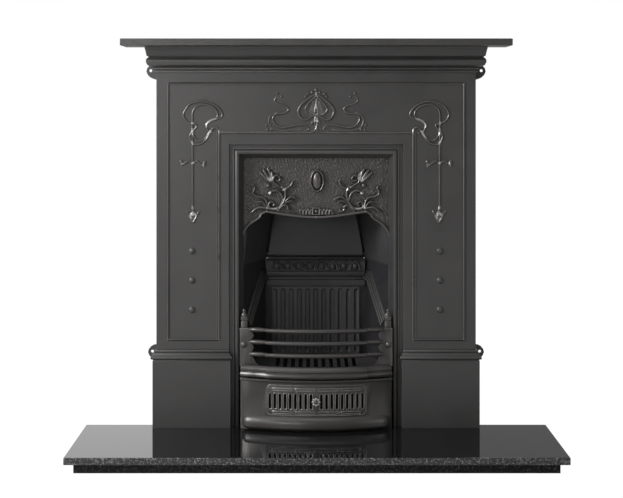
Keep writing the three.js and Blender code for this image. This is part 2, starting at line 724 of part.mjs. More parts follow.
function addSmokeBox() {
  const foot = smokeBoxFoot;
  const footBackHalf = cheekHalf(smokeBoxBackY);
  const wall = smokeBoxWall;
  const plan = (frontHalf, backHalf, backY, z) => [[-frontHalf - wall, smokeBoxFrontY, z], [-frontHalf, smokeBoxFrontY, z],
    [-backHalf, backY, z], [backHalf, backY, z], [frontHalf, smokeBoxFrontY, z],
    [frontHalf + wall, smokeBoxFrontY, z], [backHalf + wall, backY + wall, z], [-backHalf - wall, backY + wall, z]];
  const low = plan(hoodHalf, footBackHalf, smokeBoxBackY, foot);
  const high = plan(smokeBoxTopFrontHalf, smokeBoxTopBackHalf, smokeBoxBackY + smokeBoxLean, smokeBoxTop);
  const shell = sweep(low.map(([x, y]) => [x, y]), [
    (x, y) => [x, y, foot],
    (x, y) => high[low.findIndex((point) => point[0] === x && point[1] === y)],
  ]);
  const lid = outline([[-smokeBoxTopFrontHalf - wall, smokeBoxFrontY], [smokeBoxTopFrontHalf + wall, smokeBoxFrontY],
    [smokeBoxTopBackHalf + wall, high[6][1]], [-smokeBoxTopBackHalf - wall, high[6][1]]]);
  lid.holes.push(new THREE.Path([[-flueHalfWidth, flueFront], [-flueHalfWidth, flueBack], [flueHalfWidth, flueBack],
    [flueHalfWidth, flueFront]].map(([x, y]) => new THREE.Vector2(x, y))));
  const pieces = [shell, upright(lid, smokeBoxTop - wall, smokeBoxTop)];
  for (const side of [-1, 1]) {
    const flange = outline([[frameSeatHalf, archSpringZ], [frameSeatHalf, smokeBoxTop],
      [smokeBoxTopFrontHalf + wall - 2, smokeBoxTop], [hoodHalf - 2, archSpringZ]]
      .map(([x, z]) => [side * x, z]));
    pieces.push(wallPlate(flange, smokeBoxFrontY, smokeBoxFrontY + wall));
  }
  const holes = hoodBoltPlaces.map(([x, z]) => boltHoleY(x, z, 0, smokeBoxFrontY + wall + 1));
  holes.push(rodX(damperRodY, damperRodZ, damperRodRadius + seatGap, -hoodHalf, hoodHalf));
  add('smoke_box', cut(unite(pieces), holes), chamberIron);
  const sides = ['right', 'left'];
  hoodBoltPlaces.forEach(([x, z], i) => {
    const name = `hood_bolt_${sides[i >> 1]}_${i % 2 ? 'upper' : 'lower'}`;
    const face = smokeBoxFrontY + wall;
    add(name, boltFromBack(face, face + seatBoltDepth), boltSteel, x, 0, z);
  });
}

function addDamper() {
  const half = damperHalf;
  const shape = outline([[-half, 0], [half, 0], [half, damperShoulder], [damperTopHalf, damperHeight],
    [-damperTopHalf, damperHeight], [-half, damperShoulder]]);
  const front = -damperBarrelRadius;
  const plate = wallPlate(shape, front, front + damperThickness);
  const barrel = rodX(0, 0, damperBarrelRadius, -half, half, 12);
  const bore = rodX(0, 0, damperRodRadius + runningGap, -half - 1, half + 1, 12);
  const flap = cut(unite([plate, barrel]), [bore]);
  flap.rotateX(THREE.MathUtils.degToRad(-damperLean));
  add('damper_flap', flap, chamberIron, 0, damperRodY, damperRodZ);
  const rodHalf = cheekHalf(damperRodY) + smokeBoxWall + 6;
  add('damper_rod', rodX(0, 0, damperRodRadius, -rodHalf, rodHalf), boltSteel, 0, damperRodY, damperRodZ);
}

function addChamber() {
  add('cheek_left', cheek(-1), chamberIron);
  add('cheek_right', cheek(1), chamberIron);
  const sides = ['right', 'left'];
  const face = seatGap + cheekWall;
  cheekBoltPlaces.forEach(([x, z], i) => {
    const name = `cheek_bolt_${sides[i >> 1]}_${i % 2 ? 'upper' : 'lower'}`;
    add(name, boltFromBack(face, face + seatBoltDepth), boltSteel, x, 0, z);
  });
  addFireback();
  addFirebackCap();
  addSmokeBox();
  addDamper();
}

// ---------------------------------------------------------------- fire basket
const grateFrontY = -70;
const grateFrontHalf = 198;
const grateSideY = -30;
const grateShoulderHalf = 162;  // the grate's front is clear of the end plates outside this

function addGrate() {
  const back = chamberDepth - flutedProud - grateClearance;
  const neck = 6;
  const shape = new THREE.Shape();
  shape.moveTo(-cheekHalf(back) + grateClearance, back);
  shape.lineTo(-cheekHalf(neck) + grateClearance, neck);
  shape.lineTo(-grateFrontHalf, neck);
  shape.lineTo(-grateFrontHalf, grateSideY);
  shape.lineTo(-grateShoulderHalf, grateSideY - 2);
  shape.quadraticCurveTo(0, 2 * grateFrontY - grateSideY, grateShoulderHalf, grateSideY - 2);
  shape.lineTo(grateFrontHalf, grateSideY);
  shape.lineTo(grateFrontHalf, neck);
  shape.lineTo(cheekHalf(neck) - grateClearance, neck);
  shape.lineTo(cheekHalf(back) - grateClearance, back);
  const slotsEachSide = Math.floor(cheekHalf(back) / grateBarPitch) - 1;
  const half = grateSlotWidth / 2;
  const slots = [];
  for (let i = -slotsEachSide; i <= slotsEachSide; i++) {
    const x = i * grateBarPitch;
    const front = Math.abs(i) <= 4 ? grateFrontY + 26 : grateSideY + 4;
    slots.push(block(x - half, x + half, front, back - 14, grateTop - 2 * grateThickness, grateTop + 1));
  }
  const plate = upright(shape, grateTop - grateThickness, grateTop, 8);
  add('bottom_grate', cut(plate, slots), chamberIron);
}

function addPosts() {
  const neck = postShoulder;
  const r = finialRadius;
  const finial = [[0, neck - 2], [r, neck - 2], [r * 1.1, neck + 2], [r * 1.05, neck + 6], [r * 0.75, neck + 10],
    [r * 0.45, neck + 12], [r * 0.5, neck + 13.5], [r * 0.62, neck + 16], [r * 0.6, neck + 19], [r * 0.35, neck + 22],
    [0, neck + 23]];
  const body = [
    block(-postWidth / 2, postWidth / 2, postFrontY, postFrontY + postDepth, seatGap, neck - 12),
    block(-postWidth / 2 + 2, postWidth / 2 - 2, postFrontY + 1.5, postFrontY + postDepth - 1.5, neck - 13, neck - 8),
    block(-postWidth / 2, postWidth / 2, postFrontY, postFrontY + postDepth, neck - 9, neck - 1),
    turned(finial, 12).scale(1, 0.7, 1).translate(0, postFrontY + postDepth / 2, 0),
  ];
  for (const [name, side] of [['post_left', -1], ['post_right', 1]]) {
    add(name, unite(body), barIron, side * postX, 0, 0);
  }
}

const endPlateBackY = postFrontY - seatGap;
const endPlateFrontY = endPlateBackY - endPlateThickness;

function endPlate(side) {
  const shape = new THREE.Shape();
  const inner = endPlateInner;
  const cusp = inner - 12;      // how far in the plate reaches between the bars
  shape.moveTo(endPlateOuter, sillTop - 4);
  shape.lineTo(endPlateOuter, endPlateTop);
  shape.lineTo(inner + 4, endPlateTop);
  for (let i = barHeights.length - 1; i > 0; i--) {
    shape.lineTo(inner - 4, barHeights[i] + 2);
    shape.lineTo(inner - 4, barHeights[i] - 4);
    const middle = (barHeights[i] + barHeights[i - 1]) / 2;
    shape.quadraticCurveTo(cusp + 6, barHeights[i] - 7, cusp, middle);
    shape.quadraticCurveTo(cusp + 6, barHeights[i - 1] + 7, inner - 4, barHeights[i - 1] + 4);
  }
  shape.lineTo(inner - 4, barHeights[0] - 4);
  shape.quadraticCurveTo(cusp + 4, barHeights[0] - 8, cusp - 2, sillTop + 12);
  shape.quadraticCurveTo(cusp - 6, sillTop + 2, cusp - 16, sillTop - 4);
  const plate = wallPlate(shape, endPlateFrontY, endPlateBackY, 3);
  const hole = rodY(studX, studZ, boltRadius + boltHoleClearance, endPlateFrontY - 1, endPlateBackY + 1);
  const holed = cut(plate, [hole]);
  return side > 0 ? holed : facingOut(holed.scale(-1, 1, 1));
}

const studX = (endPlateInner + endPlateOuter) / 2 + 3;
const ring = (sides) => Array.from({ length: sides }, (_, i) => ((i + 0.5) * 2 * Math.PI) / sides);

function barSection(z) {
  return ring(8).map((angle) => [
    -endInset + Math.cos(angle) * barHalfDepth, z + Math.sin(angle) * barHalfHeight]);
}

// the bars run a little behind the bow of the ashpit cover, so that they meet the end plates
const endInset = 8;

function sillProfile() {
  return [[-7, sillBottom], [8, sillBottom], [11, sillBottom + 3], [12, sillBottom + 8], [10, sillMiddle - 3],
    [6, sillMiddle - 1], [6, sillMiddle + 1], [8, sillMiddle + 4], [8, sillMiddle + 9], [5, sillTop - 4],
    [1, sillTop], [-7, sillTop]];
}

function addBasketFront() {
  const pieces = [endPlate(-1), endPlate(1), sweep(sillProfile(), bowStations(bowEndHalf - 4, breakStep))];
  for (const z of barHeights) {
    pieces.push(sweep(barSection(z), bowStations(endPlateInner + 3, breakStep)));
  }
  add('basket_front', unite(pieces), barIron);
  const shank = endPlateThickness - 1;
  for (const [name, side] of [['stud_left', -1], ['stud_right', 1]]) {
    const head = turned([[0, seatGap], [studRadius, seatGap], [studRadius, seatGap + 1.5],
      [studRadius * 0.8, studProud * 0.7], [studRadius * 0.4, studProud], [0, studProud + 0.5]], 14);
    const stud = unite([head, rodZ(0, 0, boltRadius, -shank, seatGap + 1, 10)]);
    add(name, stud.rotateX(Math.PI / 2), barIron, side * studX, endPlateFrontY, studZ);
  }
}

// ---------------------------------------------------------------- ashpit
const coverHalf = bowEndHalf;
const ventFirst = 1;
const slideBackOut = -coverWall - runningGap - slideThickness;

// a cutter through the bowed wall, turned about the centre of the bow to its place
function radialCutter(geometry, turns) {
  geometry.translate(0, -bowCentreY, 0);
  geometry.rotateZ(turns * ventAngle);
  return geometry.translate(0, bowCentreY, 0);
}

function ventCutter(turns) {
  const middleY = bowCentreY - bowRadius;
  const half = ventWidth / 2;
  const shape = new THREE.Shape();
  shape.absarc(0, ventHeight / 2 - half, half, 0, Math.PI, false);
  shape.absarc(0, -ventHeight / 2 + half, half, Math.PI, 2 * Math.PI, false);
  const cutter = wallPlate(shape, middleY - 6, middleY + coverWall + slideThickness + 6, 3);
  return radialCutter(cutter.translate(0, 0, ventZ), turns);
}

function ventCutters() {
  const cutters = [];
  for (let i = ventFirst; i < ventFirst + ventsPerSide; i++) {
    cutters.push(ventCutter(i), ventCutter(-i));
  }
  return cutters;
}

function coverProfile() {
  const wall = -coverWall;
  return [[wall, seatGap], [0, seatGap], [0, coverTop - 10], [1, coverTop - 7], [coverBeadProud, coverTop - 6],
    [coverBeadProud, coverTop - 1], [coverBeadProud - 1, coverTop], [wall, coverTop], [wall, 8]];
}

// the swelling along the foot of the cover, drawn in at its ends
function coverBulge() {
  const bulge = coverBulgeProud;
  const top = coverBulgeTop;
  const profile = [[-2, 1], [1, 1], [bulge * 0.6, 4], [bulge, 11], [bulge, top * 0.5], [bulge * 0.8, top * 0.72],
    [bulge * 0.35, top * 0.9], [-2, top]];
  const ends = [1, 0.97, 0.93];
  const fullness = [0.25, 0.72, 1];
  const place = (share, full) => {
    const station = bowStation(share * coverBulgeHalf);
    const middle = top * 0.45;
    return (out, z) => station(out < 0 ? out : out * full, middle + (z - middle) * (0.5 + full / 2));
  };
  const middles = Array.from({ length: 13 }, (_, i) => place(-0.86 + (i * 1.72) / 12, 1));
  const rising = ends.map((share, i) => place(-share, fullness[i]));
  const falling = ends.map((share, i) => place(share, fullness[i])).reverse();
  return sweep(profile, [...rising, ...middles, ...falling]);
}

function ventHalfX(extra) {
  return bowRadius * Math.sin((ventsPerSide + 0.5) * ventAngle) + extra;
}

function addAshpitCover() {
  const rimTop = ventZ + ventHeight / 2 + ventRimWidth;
  const rimFoot = ventZ - ventHeight / 2 - ventRimWidth;
  const rim = [[-1, rimFoot - 12], [ventRimProud, rimFoot - 12], [ventRimProud, rimTop + 12], [-1, rimTop + 12]];
  const railInner = -coverWall - 2 * runningGap - slideThickness;
  const slideHalfHeight = ventHeight / 2 + slideMargin;
  const rail = (edge, up) => [[-coverWall + 1, edge], [-coverWall + 1, edge + up * railThickness],
    [railInner - railThickness, edge + up * railThickness], [railInner - railThickness, edge - up * railReach],
    [railInner, edge - up * railReach], [railInner, edge]];
  const pieces = [
    sweep(coverProfile(), plainBow(coverHalf, 16)),
    coverBulge(),
    sweep(rim, plainBow(ventHalfX(0), 10)),
    sweep(rail(ventZ + slideHalfHeight + runningGap, 1), plainBow(ventHalfX(14), 10)),
    sweep(rail(ventZ - slideHalfHeight - runningGap, -1), plainBow(ventHalfX(14), 10)),
  ];
  const middleY = bowCentreY - bowRadius;
  const stemSlot = ventPitch / 2 + knobStemRadius + 1;
  const slot = block(-knobStemRadius - 1, stemSlot, middleY - 6, middleY + coverWall + 3,
    ventZ - knobStemRadius - 1, ventZ + knobStemRadius + 1);
  add('ashpit_cover', cut(unite(pieces), [...ventCutters(), slot]), castIron);
}

function addAirSlide() {
  const half = ventHeight / 2 + slideMargin;
  const out = -coverWall - runningGap;
  const section = [[slideBackOut, ventZ - half], [out, ventZ - half], [out, ventZ + half], [slideBackOut, ventZ + half]];
  const middleY = bowCentreY - bowRadius;
  const stemHole = rodY(0, ventZ, knobStemRadius + boltHoleClearance, middleY - 2, middleY + 20, 10);
  const plate = sweep(section, plainBow(ventHalfX(0), 16));
  add('air_slide', cut(plate, [...ventCutters(), stemHole]), panSteel);
  const back = -out + slideThickness;
  const profile = [[0, -back], [knobStemRadius, -back], [knobStemRadius, ventRimProud + seatGap],
    [knobRadius * 0.8, ventRimProud + seatGap], [knobRadius, knobProud * 0.45], [knobRadius * 0.9, knobProud * 0.7],
    [knobRadius * 0.55, knobProud * 0.75], [knobRadius * 0.4, knobProud], [0, knobProud]];
  const knob = turned(profile, 16).rotateX(Math.PI / 2);
  add('air_knob', knob, barIron, 0, middleY, ventZ);
}

function addAshPan() {
  const floor = seatGap;
  const outer = block(-panHalf, panHalf, panFrontY, panBackY, floor, panHeight);
  const inner = block(-panHalf + panWall, panHalf - panWall, panFrontY + panWall, panBackY - panWall,
    floor + panWall, panHeight + 5);
  const handleZ = panHeight * 0.6;
  const hole = (x) => rodY(x, handleZ, panHandleRadius + seatGap, panFrontY - 1, panFrontY + panWall + 1, 10);
  add('ash_pan', cut(outer, [inner, hole(-panHandleHalf), hole(panHandleHalf)]), panSteel);
  const reach = panFrontY - panHandleReach;
  const bend = 8;
  const inside = panFrontY + panWall + 4;
  const path = new THREE.CurvePath();
  const point = (x, y) => new THREE.Vector3(x, y, handleZ);
  path.add(new THREE.LineCurve3(point(-panHandleHalf, inside), point(-panHandleHalf, reach + bend)));
  path.add(new THREE.QuadraticBezierCurve3(point(-panHandleHalf, reach + bend), point(-panHandleHalf, reach),
    point(-panHandleHalf + bend, reach)));
  path.add(new THREE.LineCurve3(point(-panHandleHalf + bend, reach), point(panHandleHalf - bend, reach)));
  path.add(new THREE.QuadraticBezierCurve3(point(panHandleHalf - bend, reach), point(panHandleHalf, reach),
    point(panHandleHalf, reach + bend)));
  path.add(new THREE.LineCurve3(point(panHandleHalf, reach + bend), point(panHandleHalf, inside)));
  const section = new THREE.Shape().absarc(0, 0, panHandleRadius, 0, 2 * Math.PI, false);
  const bail = new THREE.ExtrudeGeometry(section, { steps: 26, extrudePath: path, curveSegments: 4 });
  add('ash_pan_handle', bail, boltSteel);
}

addHearth();
addSurround();
addCornice();
addShelf();
addInnerFrame();
addHoodPlate();
addChamber();
addGrate();
addPosts();
addBasketFront();
addAshpitCover();
addAirSlide();
addAshPan();

export default fireplace;
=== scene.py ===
# A cast iron combination fireplace on a polished granite hearth, dressed for its portrait.
import json
import math
import bpy
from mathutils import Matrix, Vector


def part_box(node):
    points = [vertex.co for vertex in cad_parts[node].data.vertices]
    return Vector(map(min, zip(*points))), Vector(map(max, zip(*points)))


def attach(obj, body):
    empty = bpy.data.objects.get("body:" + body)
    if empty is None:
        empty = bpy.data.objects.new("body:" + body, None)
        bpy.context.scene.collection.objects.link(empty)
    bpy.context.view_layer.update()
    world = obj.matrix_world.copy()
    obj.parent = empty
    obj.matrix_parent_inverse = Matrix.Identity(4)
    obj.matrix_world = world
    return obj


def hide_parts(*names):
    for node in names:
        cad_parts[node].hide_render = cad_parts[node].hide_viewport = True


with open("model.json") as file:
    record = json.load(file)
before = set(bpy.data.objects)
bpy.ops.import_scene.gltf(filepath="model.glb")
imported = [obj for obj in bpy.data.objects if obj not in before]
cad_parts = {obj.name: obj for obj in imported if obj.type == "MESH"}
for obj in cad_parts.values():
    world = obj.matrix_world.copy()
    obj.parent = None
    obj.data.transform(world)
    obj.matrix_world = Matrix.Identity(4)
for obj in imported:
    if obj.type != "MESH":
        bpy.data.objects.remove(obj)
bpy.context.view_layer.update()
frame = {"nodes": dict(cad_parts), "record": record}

mm = 0.001

# where the ironwork stands: the wall plane in Y, and the top of the hearth in Z
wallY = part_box("surround")[1].y
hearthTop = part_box("hearth_slab")[1].z
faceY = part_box("hood_plate")[0].y
pilasterY = wallY - 34 * mm


def deselectAll():
    for each in list(bpy.context.selected_objects):
        each.select_set(False)


def pick(piece):
    deselectAll()
    piece.select_set(True)
    bpy.context.view_layer.objects.active = piece


def settle(piece):
    # the piece's place goes into its mesh, so that its object sits at the origin
    pick(piece)
    bpy.ops.object.transform_apply(location=True, rotation=True, scale=True)
    return piece


def joinAll(pieces, name):
    deselectAll()
    for piece in pieces:
        piece.select_set(True)
    bpy.context.view_layer.objects.active = pieces[0]
    if len(pieces) > 1:
        bpy.ops.object.join()
    pieces[0].name = name
    pieces[0].data.name = name
    return pieces[0]


def applyModifiers(piece):
    pick(piece)
    for modifier in list(piece.modifiers):
        bpy.ops.object.modifier_apply(modifier=modifier.name)


def smooth(piece, degrees=40):
    pick(piece)
    bpy.ops.object.shade_smooth_by_angle(angle=math.radians(degrees))


def dress(piece, material, body, slot, *nodes):
    piece.data.materials.clear()
    piece.data.materials.append(material)
    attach(piece, body)
    if nodes:
        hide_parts(*nodes)
    return piece


# the camera, worked out from the photograph's perspective
camera = {
    "left": 26.9 * mm,          # left of the middle of the fireplace
    "inFront": 4.016,           # before the wall plane
    "aboveHearth": 0.950,
    "focal": 77.7,
    "sensorWide": 36,
    "tiltDegrees": 0.0,
    "principalX": 307.0,        # pixels of the photograph
    "horizonY": 106.5,
    "pictureWide": 623,
    "pictureHigh": 498,
}
focalPixels = camera["focal"] / camera["sensorWide"] * camera["pictureWide"]


def addCamera():
    data = bpy.data.cameras.new("camera")
    cam = bpy.data.objects.new("camera", data)
    bpy.context.scene.collection.objects.link(cam)
    wide = camera["pictureWide"]
    tilt = math.radians(camera["tiltDegrees"])
    middleY = camera["horizonY"] + focalPixels * math.tan(tilt)
    data.sensor_width = camera["sensorWide"]
    data.sensor_fit = 'HORIZONTAL'
    data.lens = camera["focal"]
    data.shift_x = (wide / 2 - camera["principalX"]) / wide
    data.shift_y = -(camera["pictureHigh"] / 2 - middleY) / wide
    data.clip_end = 60
    cam.location = (-camera["left"], wallY - camera["inFront"], hearthTop + camera["aboveHearth"])
    cam.rotation_euler = (math.radians(90) - tilt, 0, 0)
    bpy.context.scene.camera = cam


# node groups that the finishes share
def newGroup(name, inputs, outputs):
    group = bpy.data.node_groups.new(name, 'ShaderNodeTree')
    for label, kind, value in inputs:
        socket = group.interface.new_socket(name=label, in_out='INPUT', socket_type=kind)
        if value is not None:
            socket.default_value = value
    for label, kind in outputs:
        group.interface.new_socket(name=label, in_out='OUTPUT', socket_type=kind)
    start = group.nodes.new('NodeGroupInput')
    end = group.nodes.new('NodeGroupOutput')
    return group, start, end


def addNode(tree, kind, **settings):
    node = tree.nodes.new(kind)
    for key, value in settings.items():
        setattr(node, key, value)
    return node


def link(tree, source, target):
    tree.links.new(source, target)


def maths(tree, operation, first, second=None):
    node = addNode(tree, 'ShaderNodeMath', operation=operation)
    for index, value in enumerate((first, second)):
        if value is None:
            continue
        if isinstance(value, (int, float)):
            node.inputs[index].default_value = value
        else:
            link(tree, value, node.inputs[index])
    return node.outputs[0]


def noiseAt(tree, vector, scale, detail=3.0, rough=0.55, distortion=0.0):
    node = addNode(tree, 'ShaderNodeTexNoise')
    node.inputs['Scale'].default_value = scale
    node.inputs['Detail'].default_value = detail
    node.inputs['Roughness'].default_value = rough
    node.inputs['Distortion'].default_value = distortion
    link(tree, vector, node.inputs['Vector'])
    return node.outputs['Fac']


def castGrainGroup():
    # the skin of sand-cast iron: fine grain, soft unevenness and a few pits
    group, start, end = newGroup("castGrain", [
        ("Position", 'NodeSocketVector', None), ("Grain", 'NodeSocketFloat', 1.0),
        ("Waves", 'NodeSocketFloat', 1.0)], [("Height", 'NodeSocketFloat'), ("Patches", 'NodeSocketFloat')])
    fine = noiseAt(group, start.outputs['Position'], 900, 4.0, 0.6)
    medium = noiseAt(group, start.outputs['Position'], 160, 3.0, 0.5)
    broad = noiseAt(group, start.outputs['Position'], 14, 3.0, 0.5)
    grain = maths(group, 'MULTIPLY', fine, start.outputs['Grain'])
    waves = maths(group, 'MULTIPLY', medium, start.outputs['Waves'])
    height = maths(group, 'ADD', grain, waves)
    link(group, height, end.inputs['Height'])
    link(group, broad, end.inputs['Patches'])
    return group


def ranged(tree, value, low, high, atLow, atHigh):
    node = addNode(tree, 'ShaderNodeMapRange')
    for label, number in (('From Min', low), ('From Max', high), ('To Min', atLow), ('To Max', atHigh)):
        node.inputs[label].default_value = number
    link(tree, value, node.inputs['Value'])
    return node.outputs[0]


def edgeSheenAndShadeGroup():
    # where polishing has brightened the corners and high spots, with a painted highlight on the same convex
    # edges
    group, start, end = newGroup("edgeSheenAndCreviceShade", [
        ("Position", 'NodeSocketVector', None), ("Amount", 'NodeSocketFloat', 1.0)],
        [("Mask", 'NodeSocketFloat'), ("Open", 'NodeSocketFloat')])
    corner = addNode(group, 'ShaderNodeAmbientOcclusion', inside=True, only_local=True, samples=6)
    corner.inputs['Distance'].default_value = 0.0024
    exposed = ranged(group, corner.outputs['AO'], 0.85, 0.45, 0.0, 1.0)
    # and painted shade: darker where nearby surfaces occlude, in corners, creases and recesses
    crevice = addNode(group, 'ShaderNodeAmbientOcclusion', only_local=False, samples=6)
    crevice.inputs['Distance'].default_value = 0.010
    link(group, ranged(group, crevice.outputs['AO'], 0.25, 0.8, 0.35, 1.0), end.inputs['Open'])
    wearAndSheen = noiseAt(group, start.outputs['Position'], 60, 4.0, 0.6)
    broken = maths(group, 'MULTIPLY', exposed, wearAndSheen)
    amount = maths(group, 'MULTIPLY', broken, start.outputs['Amount'])
    link(group, amount, end.inputs['Mask'])
    return group


castGrain = castGrainGroup()
edgeSheenAndCreviceShade = edgeSheenAndShadeGroup()


def newMaterial(name):
    material = bpy.data.materials.new(name)
    material.use_nodes = True
    tree = material.node_tree
    shader = tree.nodes['Principled BSDF']
    position = addNode(tree, 'ShaderNodeTexCoord').outputs['Object']
    return material, tree, shader, position


def mixColour(tree, factor, first, second):
    node = addNode(tree, 'ShaderNodeMix', data_type='RGBA')
    if isinstance(factor, (int, float)):
        node.inputs[0].default_value = factor
    else:
        link(tree, factor, node.inputs[0])
    for index, value in ((6, first), (7, second)):
        if isinstance(value, tuple):
            node.inputs[index].default_value = (*value, 1.0)
        else:
            link(tree, value, node.inputs[index])
    return node.outputs[2]


def placeGroup(tree, group, position, **values):
    node = addNode(tree, 'ShaderNodeGroup')
    node.node_tree = group
    link(tree, position, node.inputs['Position'])
    for label, value in values.items():
        node.inputs[label].default_value = value
    return node


# dark and light tones of the blacking, gloss, grain and rubbing of each iron finish; the rubbed tone is
# partly real polish and partly a painted highlight on the edges
ironFinishes = {
    "blackedIron": {"dark": (0.040, 0.0385, 0.038), "light": (0.049, 0.047, 0.046),
                    "rubbedAndHighlit": (0.17, 0.165, 0.16),
                    "metallic": 0.30, "smoothest": 0.36, "roughest": 0.44, "grain": 0.6, "waves": 0.35,
                    "bump": 0.00012, "rubAndHighlight": 1.0, "hammered": 0.0},
    "chamberIron": {"dark": (0.026, 0.026, 0.0275), "light": (0.034, 0.034, 0.036),
                    "rubbedAndHighlit": (0.08, 0.08, 0.08),
                    "metallic": 0.15, "smoothest": 0.48, "roughest": 0.60, "grain": 1.0, "waves": 0.6,
                    "bump": 0.00018, "rubAndHighlight": 0.6, "hammered": 0.0},
    # the fireback, with painted shade on its margins beyond the fluted panel
    "firebackIron": {"dark": (0.032, 0.032, 0.034), "light": (0.042, 0.042, 0.045),
                     "rubbedAndHighlit": (0.10, 0.10, 0.10),
                     "metallic": 0.15, "smoothest": 0.44, "roughest": 0.55, "grain": 1.0, "waves": 0.6,
                     "bump": 0.00018, "rubAndHighlight": 0.8, "hammered": 0.0, "paintedShadeFrom": 0.1365},
    # a darker copy of the chamber iron: painted shade on the cheeks, also used for the packing strips
    "shadedCheekIron": {"dark": (0.013, 0.013, 0.0145), "light": (0.017, 0.017, 0.019),
                  "rubbedAndHighlit": (0.07, 0.07, 0.07),
                  "metallic": 0.15, "smoothest": 0.46, "roughest": 0.56, "grain": 1.0, "waves": 0.6,
                  "bump": 0.00018, "rubAndHighlight": 0.8, "hammered": 0.0},
    "barIron": {"dark": (0.046, 0.043, 0.041), "light": (0.060, 0.057, 0.055),
                "rubbedAndHighlit": (0.26, 0.25, 0.24),
                "metallic": 0.45, "smoothest": 0.28, "roughest": 0.38, "grain": 0.6, "waves": 0.5,
                "bump": 0.00014, "rubAndHighlight": 1.4, "hammered": 0.0},
    "hoodIron": {"dark": (0.044, 0.041, 0.039), "light": (0.056, 0.052, 0.049),
                 "rubbedAndHighlit": (0.22, 0.21, 0.20),
                 "metallic": 0.40, "smoothest": 0.28, "roughest": 0.36, "grain": 0.6, "waves": 0.5,
                 "bump": 0.00014, "rubAndHighlight": 1.6, "hammered": 1.0},
    # a lighter copy of the blacked iron: painted highlight on the relief ornament, the studs and the knob
    "litReliefIron": {"dark": (0.062, 0.058, 0.055), "light": (0.080, 0.075, 0.071),
                   "rubbedAndHighlit": (0.32, 0.31, 0.30),
                   "metallic": 0.45, "smoothest": 0.26, "roughest": 0.34, "grain": 0.5, "waves": 0.4,
                   "bump": 0.00010, "rubAndHighlight": 1.6, "hammered": 0.0},
    "sheetSteel": {"dark": (0.018, 0.018, 0.019), "light": (0.024, 0.024, 0.026),
                   "rubbedAndHighlit": (0.10, 0.10, 0.10),
                   "metallic": 0.5, "smoothest": 0.40, "roughest": 0.5, "grain": 0.3, "waves": 0.4,
                   "bump": 0.00006, "rubAndHighlight": 0.8, "hammered": 0.0},
    "boltSteel": {"dark": (0.20, 0.195, 0.185), "light": (0.30, 0.29, 0.27),
                  "rubbedAndHighlit": (0.3, 0.3, 0.3),
                  "metallic": 0.4, "smoothest": 0.32, "roughest": 0.5, "grain": 0.4, "waves": 0.5,
                  "bump": 0.00008, "rubAndHighlight": 1.2, "hammered": 0.0},
}


def hammeredHeight(tree, position):
    # short slanting dimples like the planished ground of the hood
    turned = addNode(tree, 'ShaderNodeMapping', vector_type='TEXTURE')
    turned.inputs['Rotation'].default_value = (0, math.radians(-35), 0)
    turned.inputs['Scale'].default_value = (0.0040, 0.0040, 0.0085)
    link(tree, position, turned.inputs['Vector'])
    dimples = addNode(tree, 'ShaderNodeTexVoronoi', feature='SMOOTH_F1')
    dimples.inputs['Scale'].default_value = 1.0
    dimples.inputs['Smoothness'].default_value = 0.6
    link(tree, turned.outputs[0], dimples.inputs['Vector'])
    waves = noiseAt(tree, turned.outputs[0], 1.3, 2.0, 0.5, 0.6)
    return maths(tree, 'ADD', dimples.outputs['Distance'], waves)


def ironMaterial(name):
    look = ironFinishes[name]
    material, tree, shader, position = newMaterial(name)
    skin = placeGroup(tree, castGrain, position, Grain=look["grain"], Waves=look["waves"])
    edges = placeGroup(tree, edgeSheenAndCreviceShade, position, Amount=look["rubAndHighlight"])
    base = mixColour(tree, skin.outputs['Patches'], look["dark"], look["light"])
    # polished edges: partly real wear, partly a painted highlight on the convex edges
    wearAndSheen = mixColour(tree, edges.outputs['Mask'], base, look["rubbedAndHighlit"])
    # painted shade: the colour goes towards near black in occluded corners and recesses
    colour = mixColour(tree, edges.outputs['Open'], (0.004, 0.004, 0.004), wearAndSheen)
    # painted shade: beyond the fluted panel's edges the fireback is painted near black, standing in for the
    # shadow by the cheeks
    if "paintedShadeFrom" in look:
        across = addNode(tree, 'ShaderNodeSeparateXYZ')
        link(tree, position, across.inputs[0])
        offMiddle = maths(tree, 'ABSOLUTE', across.outputs['X'], 0.0)
        margin = maths(tree, 'GREATER_THAN', offMiddle, look["paintedShadeFrom"])
        colour = mixColour(tree, margin, colour, (0.004, 0.004, 0.005))
    link(tree, colour, shader.inputs['Base Color'])
    gloss = ranged(tree, skin.outputs['Patches'], 0.3, 0.7, look["smoothest"], look["roughest"])
    link(tree, gloss, shader.inputs['Roughness'])
    shader.inputs['Metallic'].default_value = look["metallic"]
    bump = addNode(tree, 'ShaderNodeBump')
    bump.inputs['Strength'].default_value = 1.0
    bump.inputs['Distance'].default_value = look["bump"]
    link(tree, skin.outputs['Height'], bump.inputs['Height'])
    if look["hammered"]:
        blows = addNode(tree, 'ShaderNodeBump')
        blows.inputs['Strength'].default_value = look["hammered"]
        blows.inputs['Distance'].default_value = 0.0024
        link(tree, hammeredHeight(tree, position), blows.inputs['Height'])
        link(tree, blows.outputs['Normal'], bump.inputs['Normal'])
    link(tree, bump.outputs['Normal'], shader.inputs['Normal'])
    return material


# black granite: the colours of its ground and flecks, and how its tops and its sawn sides differ
graniteLook = {"ground": (0.0035, 0.0035, 0.004), "fleck": (0.20, 0.20, 0.21), "fleckScale": 300,
               "fleckReach": 0.42, "cloudScale": 120, "cloudFrom": 0.44, "cloudTo": 0.60, "level": 0.9,
               "slab": {"top": 0.035, "side": 0.34, "topFlecks": 0.10, "sideFlecks": 1.0, "specular": 0.5},
               # the riser stone has fewer flecks than the slab's sides: painted shade for the riser under the
               # slab's overhang; the back hearth takes it too
               "riser": {"top": 0.5, "side": 0.5, "topFlecks": 0.3, "sideFlecks": 0.3, "specular": 0.15}}


